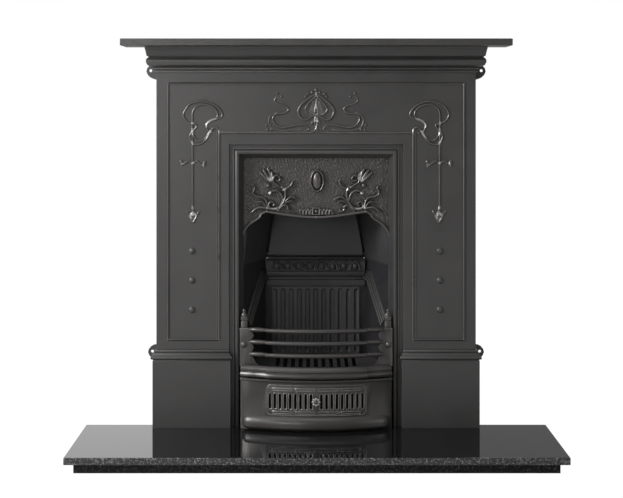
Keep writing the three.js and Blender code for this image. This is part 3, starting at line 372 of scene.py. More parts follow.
def graniteMaterial(name, stone):
    look = graniteLook[stone]
    material, tree, shader, position = newMaterial(name)
    facing = addNode(tree, 'ShaderNodeSeparateXYZ')
    link(tree, addNode(tree, 'ShaderNodeNewGeometry').outputs['True Normal'], facing.inputs[0])
    onTop = maths(tree, 'GREATER_THAN', facing.outputs['Z'], graniteLook["level"])
    flecks = addNode(tree, 'ShaderNodeTexVoronoi', feature='F1')
    flecks.inputs['Scale'].default_value = graniteLook["fleckScale"]
    link(tree, position, flecks.inputs['Vector'])
    cloud = noiseAt(tree, position, graniteLook["cloudScale"], 4.0, 0.6)
    ramp = addNode(tree, 'ShaderNodeMapRange')
    ramp.inputs['From Min'].default_value = graniteLook["cloudFrom"]
    ramp.inputs['From Max'].default_value = graniteLook["cloudTo"]
    link(tree, ranged(tree, onTop, 0.0, 1.0, look["sideFlecks"], look["topFlecks"]), ramp.inputs['To Max'])
    link(tree, cloud, ramp.inputs['Value'])
    spots = maths(tree, 'LESS_THAN', flecks.outputs['Distance'], graniteLook["fleckReach"])
    mask = maths(tree, 'MULTIPLY', ramp.outputs[0], spots)
    colour = mixColour(tree, mask, graniteLook["ground"], graniteLook["fleck"])
    link(tree, colour, shader.inputs['Base Color'])
    link(tree, ranged(tree, onTop, 0.0, 1.0, look["side"], look["top"]), shader.inputs['Roughness'])
    shader.inputs['Specular IOR Level'].default_value = look["specular"]
    shader.inputs['IOR'].default_value = 1.55
    return material


finishes = {name: ironMaterial(name) for name in ironFinishes}
finishes["polishedGranite"] = graniteMaterial("polishedGranite", "slab")
finishes["honedGranite"] = graniteMaterial("honedGranite", "riser")
print("finishes ready:", len(finishes))


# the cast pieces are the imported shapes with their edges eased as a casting's are
fluteLook = {"count": 11, "pitch": 25.4, "half": 7.5, "deep": 5.0, "foot": 191, "head": 375}


def roundFluteEnds(piece):
    # each flute of the fireback ends above and below in a hollow quarter ball
    look = fluteLook
    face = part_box("fireback")[0].y
    balls = []
    for i in range(look["count"]):
        x = (i - (look["count"] - 1) / 2) * look["pitch"] * mm
        for z in (look["foot"], look["head"]):
            bpy.ops.mesh.primitive_uv_sphere_add(segments=12, ring_count=8, radius=look["half"] * mm)
            ball = bpy.context.active_object
            ball.scale = (1, look["deep"] / look["half"], 1)
            ball.location = (x, face, hearthTop + z * mm)
            balls.append(settle(ball))
    cutter = joinAll(balls, "flute_ends")
    hollow = piece.modifiers.new("flute ends", 'BOOLEAN')
    hollow.operation = 'DIFFERENCE'
    hollow.solver = 'EXACT'
    hollow.object = cutter
    applyModifiers(piece)
    bpy.data.objects.remove(cutter, do_unlink=True)


# how edges are eased: bevel steps, the angles in degrees from which an edge is eased or kept sharp, and how
# many millimetres wide a face is before it counts as flat
easing = {"segments": 2, "sharpFrom": 28, "blendRound": 42, "blendFlat": 46, "wideFace": 12}


def easedCopy(node, width):
    source = frame["nodes"][node]
    piece = bpy.data.objects.new(node + "_cast", source.data.copy())
    bpy.context.scene.collection.objects.link(piece)
    pick(piece)
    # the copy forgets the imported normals, which would tilt the new faces
    bpy.ops.mesh.customdata_custom_splitnormals_clear()
    bpy.ops.object.mode_set(mode='EDIT')
    bpy.ops.mesh.select_all(action='SELECT')
    bpy.ops.mesh.remove_doubles(threshold=0.00002)
    bpy.ops.mesh.mark_sharp(clear=True)
    bpy.ops.mesh.dissolve_limited(angle_limit=math.radians(1.0))
    bpy.ops.object.mode_set(mode='OBJECT')
    if node == "fireback":
        roundFluteEnds(piece)
    if width:
        bevel = piece.modifiers.new("eased", 'BEVEL')
        bevel.width = width * mm
        bevel.segments = easing["segments"]
        bevel.limit_method = 'ANGLE'
        bevel.angle_limit = math.radians(easing["sharpFrom"])
        applyModifiers(piece)
    smooth(piece, easing["blendFlat"] if node in flatPieces else easing["blendRound"])
    if node in flatPieces:
        shape = piece.data
        for face in shape.polygons:
            longest = max((shape.vertices[a].co - shape.vertices[b].co).length for a, b in face.edge_keys)
            if face.area > easing["wideFace"] * mm * longest:
                face.use_smooth = False
    return piece


# on these the wide flat faces keep their own direction, and only mouldings and roundings are blended
flatPieces = ("surround", "hood_plate", "fireback", "cheek_left", "cheek_right", "smoke_box", "damper_flap",
              "mantel_shelf", "hearth_slab", "hearth_riser_front", "hearth_riser_left", "hearth_riser_right",
              "back_hearth", "bottom_grate", "inner_frame", "cornice", "ash_pan", "fireback_cap")

# width of the eased edge in millimetres, finish and record slot of each cast piece
castPieces = {
    "surround": (0.9, "blackedIron", "blacked_iron"),
    "cornice": (0.9, "blackedIron", "blacked_iron"),
    "mantel_shelf": (0.8, "blackedIron", "blacked_iron"),
    "inner_frame": (0.7, "blackedIron", "blacked_iron"),
    "hood_plate": (0.8, "hoodIron", "blacked_iron"),
    "ashpit_cover": (0.8, "barIron", "blacked_iron"),
    "basket_front": (0.7, "barIron", "bar_iron"),
    "post_left": (0.5, "barIron", "bar_iron"),
    "post_right": (0.5, "barIron", "bar_iron"),
    "stud_left": (0.3, "litReliefIron", "bar_iron"),
    "stud_right": (0.3, "litReliefIron", "bar_iron"),
    "air_knob": (0.3, "litReliefIron", "bar_iron"),
    "cheek_left": (0.8, "shadedCheekIron", "chamber_iron"),
    "cheek_right": (0.8, "shadedCheekIron", "chamber_iron"),
    "fireback": (0.35, "firebackIron", "chamber_iron"),
    "fireback_cap": (0.6, "chamberIron", "chamber_iron"),
    "smoke_box": (0.8, "chamberIron", "chamber_iron"),
    "damper_flap": (0.8, "chamberIron", "chamber_iron"),
    "bottom_grate": (0.8, "chamberIron", "chamber_iron"),
    "air_slide": (0.3, "sheetSteel", "sheet_steel"),
    "ash_pan": (0.3, "sheetSteel", "sheet_steel"),
    "ash_pan_handle": (0, "boltSteel", "bolt_steel"),
    "damper_rod": (0.4, "chamberIron", "bolt_steel"),
    "hearth_slab": (0.4, "polishedGranite", "granite"),
    "hearth_riser_front": (0.6, "honedGranite", "granite"),
    "hearth_riser_left": (0.6, "honedGranite", "granite"),
    "hearth_riser_right": (0.6, "honedGranite", "granite"),
    "back_hearth": (1.5, "honedGranite", "granite"),
}
bodyOf = {node: body for body, nodes in frame["record"]["behaviour"]["bodies"].items() for node in nodes}
pieces = {}
for node in sorted(frame["nodes"]):
    width, finish, slotName = castPieces.get(node, (0.5, "boltSteel", "bolt_steel"))
    pieces[node] = dress(easedCopy(node, width), finishes[finish], bodyOf[node], slotName, node)
print("cast pieces:", len(pieces))


# the relief ornament, followed from the photograph's pixels
def onPlane(point, planeY):
    # where a pixel of the photograph falls on an upright plane of the fireplace
    distance = planeY + camera["inFront"] - wallY
    scale = distance / focalPixels
    across = (point[0] - camera["principalX"]) * scale - camera["left"]
    up = hearthTop + camera["aboveHearth"] - (point[1] - camera["horizonY"]) * scale
    return Vector((across, planeY, up))


def smoothPath(points, steps=5, closed=False):
    # a curve through every point, with the roundness of a drawn line
    count = len(points)
    path = []
    spans = count if closed else count - 1
    for i in range(spans):
        if closed:
            a, b, c, d = (points[(i + k) % count] for k in (-1, 0, 1, 2))
        else:
            a, b, c, d = (points[min(max(i + k, 0), count - 1)] for k in (-1, 0, 1, 2))
        for step in range(steps):
            t = step / steps
            path.append(0.5 * (2 * b + (c - a) * t + (2 * a - 5 * b + 4 * c - d) * t * t
                               + (3 * b - a - 3 * c + d) * t * t * t))
    if not closed:
        path.append(points[-1].copy())
    return path


def vine(points, width=3.0, proud=2.2, taper=(1.0, 1.0), closed=False, mirror=False, steps=5):
    # a half-round stem standing on its panel, thinner at its ends where it tapers
    path = smoothPath(points, steps, closed)
    if mirror:
        path = [Vector((-point.x, point.y, point.z)) for point in path]
    data = bpy.data.curves.new("vine", 'CURVE')
    data.dimensions = '3D'
    data.bevel_depth = width / 2 * mm
    data.bevel_resolution = 2
    data.use_fill_caps = True
    spline = data.splines.new('POLY')
    spline.points.add(len(path) - 1)
    spline.use_cyclic_u = closed
    for i, point in enumerate(path):
        along = i / max(len(path) - 1, 1)
        atStart = min(1.0, taper[0] + (1 - taper[0]) * along * 4)
        atEnd = min(1.0, taper[1] + (1 - taper[1]) * (1 - along) * 4)
        spline.points[i].co = (point.x, 0, point.z, 1)
        spline.points[i].radius = atStart * atEnd
    stem = bpy.data.objects.new("vine", data)
    bpy.context.scene.collection.objects.link(stem)
    pick(stem)
    bpy.ops.object.convert(target='MESH')
    stem = bpy.context.active_object
    stem.scale = (1, proud / (width / 2), 1)
    stem.location = (0, path[0].y, 0)
    return settle(stem)


def bead(point, radius=2.2, proud=2.2, mirror=False, tall=1.0):
    bpy.ops.mesh.primitive_uv_sphere_add(segments=16, ring_count=8, radius=radius * mm)
    knob = bpy.context.active_object
    knob.scale = (1, proud / radius, tall)
    knob.location = (-point.x if mirror else point.x, point.y, point.z)
    return settle(knob)


def both(points, planeY, **look):
    # a stem and its reflection in the middle of the fireplace
    placed = [onPlane(point, planeY) for point in points]
    return [vine(placed, mirror=side, **look) for side in (False, True)]


def bothBeads(points, planeY, **look):
    placed = [onPlane(point, planeY) for point in points]
    return [bead(point, mirror=side, **look) for point in placed for side in (False, True)]


def allStems(shape, planeY):
    # every stem that the piece's dictionary gives a width, a rise and its two ends' share of the width
    parts = []
    for name, (width, proud, taper) in shape["stems"].items():
        lines = shape[name] if isinstance(shape[name][0], list) else [shape[name]]
        for line in lines:
            parts += both(line, planeY, width=width, proud=proud, taper=taper)
    return parts


def finishPiece(parts, name, finish, body, slotName):
    whole = joinAll(parts, name)
    smooth(whole, 50)
    return dress(whole, finishes[finish], body, slotName)


# stems of the corner knots, with their hanging lines, bows and finials
cornerKnot = {
    "outerLoop": [(206.6, 127.5), (206.6, 123.9), (212, 120.4), (220, 117.7), (222.2, 113.2), (215.5, 105.2),
                  (203, 101.2), (193.5, 103), (187.9, 106.1), (183.4, 114.1), (187, 121.3), (191.9, 123),
                  (195.9, 124.4), (195.9, 127.5), (190.5, 133.8), (190.1, 138.2), (193.2, 143.6),
                  (198.6, 144.5), (205.7, 140), (210.2, 132), (213.8, 127.5), (217.8, 128.4), (219.1, 132.9),
                  (219.1, 150), (219.1, 339.7)],
    "innerLoop": [(192.6, 209), (192.6, 165), (192.4, 135), (192.3, 119.5), (193.2, 110.5), (198.6, 105.6),
                  (205.7, 104.7), (212.9, 107), (217.3, 112.3), (216.4, 117.7), (210.5, 120.2),
                  (207.2, 123.6), (206.8, 127.5), (209.3, 131.5), (214.5, 132.9)],
    "lowerLoop": [(192.3, 128.4), (193.2, 134.6), (197.7, 140), (203, 140), (207.5, 135.5), (210.4, 130.5)],
    "bowLeft": [(181.6, 163.9), (184.9, 163.2), (188.3, 161.1), (192.6, 163.6)],
    "bowRight": [(192.6, 163.6), (196.4, 161.1), (199.8, 163), (203.7, 165.4)],
    "forks": [[(180.4, 160.2), (182.1, 162.9), (181.4, 166.4)],
              [(205.9, 160.9), (204.1, 163.3), (204.6, 167)]],
    "finialTips": [[(193.2, 214.6), (188.8, 214.2), (186.3, 210.6)],
                   [(192.6, 206), (193.4, 211), (193.2, 216)],
                   [(193.2, 214.6), (197.4, 214), (199.6, 210.8)]],
    "finialHeart": [(189.3, 215.2), (191.2, 219.2), (193.2, 222.2), (195.2, 219.2), (196.9, 215.2)],
    "finialBead": (193.1, 215.6),
    "stems": {"outerLoop": (6.4, 3.6, (1.0, 1.0)), "innerLoop": (6.4, 3.6, (1.0, 1.0)),
              "lowerLoop": (6.4, 3.6, (1.0, 1.0)), "bowLeft": (7.0, 3.6, (0.7, 0.9)),
              "bowRight": (7.0, 3.6, (0.7, 0.9)), "forks": (10, 4.2, (0.6, 0.8)),
              "finialTips": (7.5, 3.4, (0.8, 0.4)), "finialHeart": (8.5, 3.2, (0.7, 0.7))},
}


def addCornerKnots():
    parts = allStems(cornerKnot, pilasterY)
    parts += bothBeads([cornerKnot["finialBead"]], pilasterY, radius=10, proud=4.0, tall=1.25)
    return finishPiece(parts, "corner_knots", "litReliefIron", "root", "blacked_iron")


# the flower in the middle of the frieze panel and the ribbons that run out from it
centreFlower = {
    "outerPetal": [(317.0, 92.0), (315.2, 95.2), (311, 96.6), (305.5, 101), (300.9, 105.3), (298.2, 111.4),
                   (300.9, 117.5), (305.5, 119.8), (311.6, 116.7), (315.4, 115.0)],
    "innerPetal": [(316, 95.5), (311.6, 99.9), (307, 105.3), (305.1, 109.1), (307.8, 113.7), (311.6, 115.2)],
    "drop": [(317, 98.6), (315.4, 106), (314.4, 113.2), (317, 114.6)],
    "knobs": [(312.2, 92.3), (307.8, 93.8), (305.6, 96.4)],
    "leaf": [(317, 119.6), (313.4, 121.4), (311.4, 124.2)],
    "stem": [(317.2, 117), (317, 124.5), (314.6, 130.4), (309.5, 132.6), (290, 132.9), (219.1, 132.9)],
    "ribbon": [(304.7, 131.6), (308.6, 128.6), (304.7, 125.2), (297.9, 125.2), (289, 126.8), (281.8, 127.4),
               (275.9, 124.8), (272.6, 118.6), (276.0, 114.3), (284.8, 112.9), (288.3, 109.1), (284.8, 105.5),
               (278.7, 104.1), (274.6, 100.7), (275.9, 97.4)],
    "ribbonBack": [(300.5, 129.6), (290, 130.2), (279, 130.3), (271.4, 127.2), (268.6, 120.4), (271.2, 115.2),
                   (277.5, 112.6)],
    "ribbonKnobs": [(277.3, 93.2), (281.6, 96.4), (266.5, 125.2), (267.2, 130.1), (271.3, 129.4)],
    "middle": 316.07,
    "veins": {"rows": 7, "from": 101, "apart": 2, "reach": 2.2, "widening": 0.75, "rise": 2.6, "gap": 1.6},
    "stems": {"outerPetal": (8.0, 4.4, (0.6, 0.8)), "innerPetal": (5.4, 3.8, (0.5, 0.7)),
              "drop": (4.4, 3.4, (0.5, 0.9)), "leaf": (7.5, 3.6, (0.7, 0.5)), "stem": (6.0, 3.4, (1.0, 1.0)),
              "ribbon": (6.6, 4.0, (0.7, 0.6)), "ribbonBack": (5.4, 3.0, (0.5, 0.5))},
}


def addCentreFlower():
    flower, middle, veins = centreFlower, centreFlower["middle"], centreFlower["veins"]
    parts = allStems(flower, pilasterY)
    parts += bothBeads(flower["knobs"], pilasterY, radius=4.4, proud=4.0)
    parts += bothBeads(flower["ribbonKnobs"], pilasterY, radius=4.2, proud=3.8)
    parts.append(bead(onPlane((middle, 90.0), pilasterY), radius=5.0, proud=4.2))
    parts.append(bead(onPlane((middle, 117.5), pilasterY), radius=5.6, proud=4.4))
    parts.append(bead(onPlane((middle, 107), pilasterY), radius=4.5, proud=2.6, tall=3.4))
    # crossed veins between the petals and the drop
    for row in range(veins["rows"]):
        high = veins["from"] + row * veins["apart"]
        low = high + veins["rise"]
        near = middle - veins["gap"]
        far = near - (veins["reach"] + row * veins["widening"])
        for line in ([(near, high), (far, low)], [(near, low), (far, high)]):
            parts += both(line, pilasterY, width=1.8, proud=1.7, steps=1)
    return finishPiece(parts, "centre_flower", "litReliefIron", "root", "blacked_iron")


# the sprays on the hood and the oval boss between them
hoodSpray = {
    "budPetals": [[(270.9, 181.5), (266.4, 178.6), (260, 172.4)],
                  [(270.9, 181.5), (267.2, 175.8), (263.2, 169.9)],
                  [(270.9, 181.5), (270.4, 174.5), (267.5, 168.1)],
                  [(270.9, 181.5), (272.4, 176.6), (271.0, 171.8)]],
    "curl": [(281.8, 187.6), (277.4, 184.8), (273.6, 182), (273.4, 177.4), (277.2, 175.4), (280.1, 178.2),
             (278.3, 181.2), (276.0, 179.8)],
    "stem": [(268.1, 208.3), (276.7, 208.6), (283, 202.6), (285.3, 195), (284.4, 188.8), (281.3, 186.8)],
    "leafRight": [(282.4, 190.2), (288, 187.6), (291.4, 184.4), (293.6, 179.8)],
    "curlInner": [(283.3, 200.5), (281.4, 194.2), (276.4, 190.8), (271.4, 191.4), (269.4, 193.8)],
    "spiral": [(276.7, 208.6), (271.2, 208.4), (268.6, 204.8), (271.0, 201.6), (274.4, 203.4),
               (273.0, 205.8)],
    "tendril": [(268.2, 208.2), (265.2, 198.8), (257.1, 196.3), (252.9, 192.8), (254.9, 187.6),
                (251.6, 184.0)],
    "tendrilLow": [(267.8, 208.4), (262.6, 202.2), (257.1, 202.0)],
    "leafLeft": [(268, 208.6), (258.3, 207.7), (249.7, 213.7)],
    "leafWide": [(285.4, 201.0), (291, 196.8), (298.4, 199.8)],
    "leafWideLow": [(284.6, 203.4), (290.2, 200.8), (295.0, 202.6)],
    "wave": [(277.6, 210.2), (283.4, 205.4), (287.6, 206.0), (288.4, 210.0), (293.4, 211.4)],
    "ball": [(268.2, 185.6), (270.2, 193.6)],
    "boss": (317.1, 180.8),
    "bossHalf": 13.5,
    "ringAcross": 19,
    "ringUp": 31,
    "stems": {"budPetals": (11.0, 5.6, (0.5, 0.45)), "curl": (7.2, 5.6, (0.8, 0.7)),
              "stem": (8.64, 5.6, (0.6, 0.8)), "leafRight": (9.12, 5.6, (0.7, 0.25)),
              "curlInner": (7.68, 5.6, (0.7, 0.9)), "spiral": (7.2, 5.6, (0.8, 0.8)),
              "tendril": (7.2, 5.6, (0.9, 0.4)), "tendrilLow": (6.72, 5.6, (0.9, 0.5)),
              "leafLeft": (9.6, 5.6, (0.8, 0.25)), "leafWide": (7.68, 5.6, (0.8, 0.3)),
              "leafWideLow": (6.0, 5.6, (0.8, 0.3)), "wave": (7.68, 5.6, (0.5, 0.4))},
}


def addHoodRelief():
    spray = hoodSpray
    parts = allStems(spray, faceY)
    parts += bothBeads(spray["ball"], faceY, radius=6.8, proud=5.6)
    centre = onPlane(spray["boss"], faceY)
    parts.append(bead(centre, radius=spray["bossHalf"], proud=9, tall=2.0))
    ring = []
    for turn in range(16):
        angle = turn * math.pi / 8
        across = math.cos(angle) * spray["ringAcross"] * mm
        up = math.sin(angle) * spray["ringUp"] * mm
        ring.append(Vector((centre.x + across, centre.y, centre.z + up)))
    parts.append(vine(ring, width=6.4, proud=5.0, closed=True, steps=3))
    return finishPiece(parts, "hood_sprays", "litReliefIron", "root", "blacked_iron")


# half of the arch's edge, from the frame up to the peak and along to the middle
archEdge = {
    "haunch": [(243.6, 233.6), (244.6, 230.4), (248.4, 225.4), (253.4, 221.6), (259.4, 217.6), (261.6, 214.0),
               (266.5, 211.4)],
    "dip": [(266.5, 211.4), (274.4, 212.9), (293.9, 215.8), (308.0, 217.1), (316.07, 217.3)],
    "stems": {"haunch": (7.0, 3.4, (0.8, 1.0)), "dip": (8.0, 3.6, (1.0, 1.0))},
}
# the little arcade over the middle of the arch, and the box that parts its two halves
arcade = {"count": 4, "pitch": 3.35, "foot": 214.2, "head": 209.4, "shoulder": 1.6, "start": 301.2,
          "openPart": 0.36, "boxHalf": 3.2, "boxHead": 208.0, "boxFoot": 214.4, "eye": 211.2}


def addArchLip():
    parts = allStems(archEdge, faceY)
    foot, head, shoulder = arcade["foot"], arcade["head"], arcade["head"] + arcade["shoulder"]
    half = arcade["pitch"] * arcade["openPart"]
    for i in range(arcade["count"]):
        x = arcade["start"] + i * arcade["pitch"]
        arch = [(x - half, foot), (x - half, shoulder), (x, head), (x + half, shoulder), (x + half, foot)]
        parts += both(arch, faceY, width=3.6, proud=3.0, steps=3)
    half, top, low = arcade["boxHalf"], arcade["boxHead"], arcade["boxFoot"]
    middle = camera["principalX"] + camera["left"] / (camera["inFront"] / focalPixels)
    corners = [(middle - half, top), (middle + half, top), (middle + half, low), (middle - half, low)]
    placed = [onPlane(corner, faceY) for corner in corners]
    parts.append(vine(placed, width=3.6, proud=3.2, closed=True, steps=1))
    parts.append(bead(onPlane((middle, arcade["eye"]), faceY), radius=3.6, proud=2.0))
    return finishPiece(parts, "arch_lip", "litReliefIron", "root", "blacked_iron")


# the bead round the panels, in millimetres from the middle and up from the hearth
panelBorder = {"outer": 438, "inner": 290, "foot": 260, "head": 1018.5, "wide": 7.0, "proud": 4.0}


def addPanelBorder():
    border = panelBorder

    def at(x, z):
        return Vector((x * mm, pilasterY, hearthTop + z * mm))

    outer, inner, foot, head = (border[key] for key in ("outer", "inner", "foot", "head"))
    size = {"width": border["wide"], "proud": border["proud"], "steps": 1}
    parts = []
    for line in ([at(-inner, foot), at(-outer, foot)], [at(-outer, foot), at(-outer, head)]):
        parts += [vine(line, mirror=side, **size) for side in (False, True)]
    parts.append(vine([at(-outer, head), at(outer, head)], **size))
    return finishPiece(parts, "panel_border", "blackedIron", "root", "blacked_iron")


# the bow that the ashpit cover, the sill and the bars follow, from the wall plane, in millimetres
bow = {"endHalf": 223, "endY": -44, "depth": 46}
bow["radius"] = (bow["endHalf"] ** 2 + bow["depth"] ** 2) / (2 * bow["depth"])
bow["centreY"] = bow["endY"] - bow["depth"] + bow["radius"]


def onBow(x, z, out=0.0):
    angle = math.asin(x / bow["radius"])
    reach = bow["radius"] + out
    return Vector((math.sin(angle) * reach * mm, wallY + (bow["centreY"] - math.cos(angle) * reach) * mm,
                   hearthTop + z * mm))


def rail(path, radius, swells=None, closed=False, resolution=2):
    # a round rod through points in space, with its own thickness at each where given
    data = bpy.data.curves.new("rail", 'CURVE')
    data.dimensions = '3D'
    data.bevel_depth = radius * mm
    data.bevel_resolution = resolution
    data.use_fill_caps = True
    spline = data.splines.new('POLY')
    spline.points.add(len(path) - 1)
    spline.use_cyclic_u = closed
    for i, point in enumerate(path):
        spline.points[i].co = (*point, 1)
        spline.points[i].radius = swells[i] if swells else 1.0
    rod = bpy.data.objects.new("rail", data)
    bpy.context.scene.collection.objects.link(rod)
    pick(rod)
    bpy.ops.object.convert(target='MESH')
    return settle(bpy.context.active_object)


# the basket's bars: heights, thickness, and where the middle steps forward of the ends
barLook = {"heights": (220, 256, 292), "radius": 6.8, "middleHalf": 141, "middleOut": -1.0, "middleEnds": 0.8,
           "endFrom": 149, "endTo": 199, "endOut": -7.5, "endPart": 0.95,
           "endSwells": (0.55, 0.95, 1.08, 1.12, 1.12, 1.12, 1.1, 0.95, 0.55)}


def addBarSleeves():
    look = barLook
    half, start, reach = look["middleHalf"], look["endFrom"], look["endTo"] - look["endFrom"]
    swells = look["endSwells"]
    parts = []
    for z in look["heights"]:
        across = [-half + 2 * half * i / 24 for i in range(25)]
        necks = [look["middleEnds"] if i in (0, 24) else 1.0 for i in range(25)]
        parts.append(rail([onBow(x, z, look["middleOut"]) for x in across], look["radius"], necks))
        for side in (-1, 1):
            across = [side * (start + reach * i / (len(swells) - 1)) for i in range(len(swells))]
            path = [onBow(x, z, look["endOut"]) for x in across]
            parts.append(rail(path, look["radius"] * look["endPart"], swells))
    return finishPiece(parts, "bar_sleeves", "barIron", "basket", "bar_iron")


# the pierced panel of the ashpit cover, in millimetres
coverLook = {"panelHalf": 146, "panelFoot": 47, "panelHead": 134, "corner": 9, "face": 1.5, "rimRadius": 1.1,
             "ventZ": 87.5, "ventPitch": 15.2, "ventHalf": 18.5, "ventWidth": 7.0, "vents": 9, "ventRim": 1.7,
             "sunkZ": (122, 54.5), "sunkHalf": 28, "sunkPitch": 67, "sunkHigh": 6.5}


def ringOnBow(corners, out, longSteps, shortSteps, longFrom=50):
    # a closed line on the bowed face, its long level sides in enough steps to follow the bow
    ring = []
    for i, (x0, z0) in enumerate(corners):
        x1, z1 = corners[(i + 1) % len(corners)]
        steps = longSteps if abs(x1 - x0) > longFrom else shortSteps
        ring += [onBow(x0 + (x1 - x0) * k / steps, z0 + (z1 - z0) * k / steps, out) for k in range(steps)]
    return ring


def ventRing(middle):
    # the rim of one vent: half a turn over its head, then half a turn under its foot
    look = coverLook
    wide = look["ventWidth"] / 2 + look["ventRim"]
    ring = []
    for end, start in ((1, 0.0), (-1, math.pi)):
        for k in range(6):
            angle = start + math.pi * k / 5
            up = look["ventZ"] + end * look["ventHalf"] + math.sin(angle) * wide
            ring.append(onBow(middle + math.cos(angle) * wide, up, look["face"]))
    return ring


def addCoverPanel():
    look = coverLook
    half, foot, head, face = look["panelHalf"], look["panelFoot"], look["panelHead"], look["face"]
    corner, wide, high = look["corner"], look["sunkHalf"], look["sunkHigh"] / 2
    edge = [(-half + corner, foot), (half - corner, foot), (half, foot + corner), (half, head - corner),
            (half - corner, head), (-half + corner, head), (-half, head - corner), (-half, foot + corner)]
    parts = [rail(ringOnBow(edge, face - 0.6, 16, 2), look["rimRadius"], closed=True)]
    for turn in range(1, look["vents"] + 1):
        for side in (-1, 1):
            middle = side * bow["radius"] * math.sin(turn * look["ventPitch"] / bow["radius"])
            parts.append(rail(ventRing(middle), 0.8, closed=True, resolution=1))
    # the sunk frames over and under the vents, and the short ties between them
    for z in look["sunkZ"]:
        for place in (-1.5, -0.5, 0.5, 1.5):
            x = place * look["sunkPitch"]
            outline = [(x - wide, z - high), (x + wide, z - high), (x + wide, z + high), (x - wide, z + high)]
            parts.append(rail(ringOnBow(outline, face - 0.2, 5, 1), 1.3, closed=True, resolution=1))
    for place in (-1, 0, 1):
        for z in look["sunkZ"]:
            x = place * look["sunkPitch"]
            parts.append(rail([onBow(x, z - 5, face - 0.3), onBow(x, z + 5, face - 0.3)], 1.6, [0.6, 1.1]))
    return finishPiece(parts, "cover_panel", "barIron", "cover", "blacked_iron")


# the petalled knob of the air slide
knobLook = {"petals": 8, "petalRadius": 4.2, "petalRing": 9.0, "petalIn": 3.2, "eye": 4.0, "eyeIn": 2.4}


def addKnobPetals():
    look = knobLook
    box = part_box("air_knob")
    middle, face = (box[0] + box[1]) / 2, box[0].y
    parts = []
    for i in range(look["petals"]):
        angle = 2 * math.pi * i / look["petals"]
        place = Vector((middle.x + math.cos(angle) * look["petalRing"] * mm, face + look["petalIn"] * mm,
                        middle.z + math.sin(angle) * look["petalRing"] * mm))
        parts.append(bead(place, radius=look["petalRadius"], proud=3.0))
    parts.append(bead(Vector((middle.x, face + look["eyeIn"] * mm, middle.z)), radius=look["eye"], proud=2.4))
    return finishPiece(parts, "knob_petals", "boltSteel", "slide", "bar_iron")


# egg and tongue on the fireback's cap, in millimetres: each egg's arch springs below the line at z
capLook = {"eggs": 8, "pitch": 35, "z": 454, "depth": 165.5, "archHalf": 14.5, "archRise": 24.75,
           "springs": 11, "tongue": (-13, -2, 12)}


def addCapMoulding():
    look = capLook
    parts = []

    def at(x, z):
        return Vector((x * mm, wallY + look["depth"] * mm, hearthTop + z * mm))

    for i in range(look["eggs"]):
        x = (i - (look["eggs"] - 1) / 2) * look["pitch"]
        arch = []
        for k in range(9):
            angle = math.pi * (0.02 + 0.96 * k / 8)
            up = look["z"] - look["springs"] + math.sin(angle) * look["archRise"]
            arch.append(at(x + math.cos(angle) * look["archHalf"], up))
        parts.append(vine(arch, width=4.6, proud=6.5, steps=2))
        if i:
            between = x - look["pitch"] / 2
            tongue = [at(between, look["z"] + up) for up in look["tongue"]]
            parts.append(vine(tongue, width=4.2, proud=5.0, taper=(1.0, 0.3), steps=3))
    return finishPiece(parts, "cap_moulding", "litReliefIron", "root", "chamber_iron")


# the raised lines that follow the cheeks' upper edge: its path back and up, and each line's drop and step out
cheekLook = {"wide": 216, "slope": 0.3207, "path": ((178, 441), (140, 441), (24, 318)),
             "lines": ((4, -1.6), (11, 3.0), (18, 7.5), (25, 12.0)), "radius": 4.2}


def addCheekLines():
    look = cheekLook
    parts = []
    for side in (-1, 1):
        for drop, out in look["lines"]:
            path = []
            for back, up in look["path"]:
                across = look["wide"] - look["slope"] * back - out
                path.append(Vector((side * across * mm, wallY + back * mm, hearthTop + (up - drop) * mm)))
            parts.append(rail(path, look["radius"]))
    return finishPiece(parts, "cheek_lines", "blackedIron", "root", "chamber_iron")


# a packing strip on each side that covers the gap behind the frame, from the cheeks' top up to the hood,
# in millimetres from the middle, back from the wall plane and up from the hearth
packing = {"across": (216.5, 226), "back": (0.4, 6.2), "up": (476.6, 559.6)}


def addPacking():
    spans = [packing[key] for key in ("across", "back", "up")]
    x, y, z = ((low + high) / 2 * mm for low, high in spans)
    strips = []
    for side in (-1, 1):
        bpy.ops.mesh.primitive_cube_add(size=1, location=(side * x, wallY + y, hearthTop + z))
        strip = bpy.context.active_object
        strip.scale = [(high - low) * mm for low, high in spans]
        strips.append(settle(strip))
    return dress(joinAll(strips, "rope_packing"), finishes["shadedCheekIron"], "root", "chamber_iron")


addPacking()
addPanelBorder()
addBarSleeves()
addCoverPanel()
addKnobPetals()
addCapMoulding()
addCheekLines()
addCornerKnots()
addCentreFlower()
addHoodRelief()
addArchLip()
print("relief ornament ready")


# the floor, the backdrop and its light
studio = {"floorColour": (0.62, 0.62, 0.62), "floorGlow": 1.08, "floorLift": 0.90, "leftGlow": 0.75,
          "rightGlow": 0.08, "frontShade": 0.20, "ceilingGlow": 0.20, "backLeft": 1.25, "backRight": 0.28}


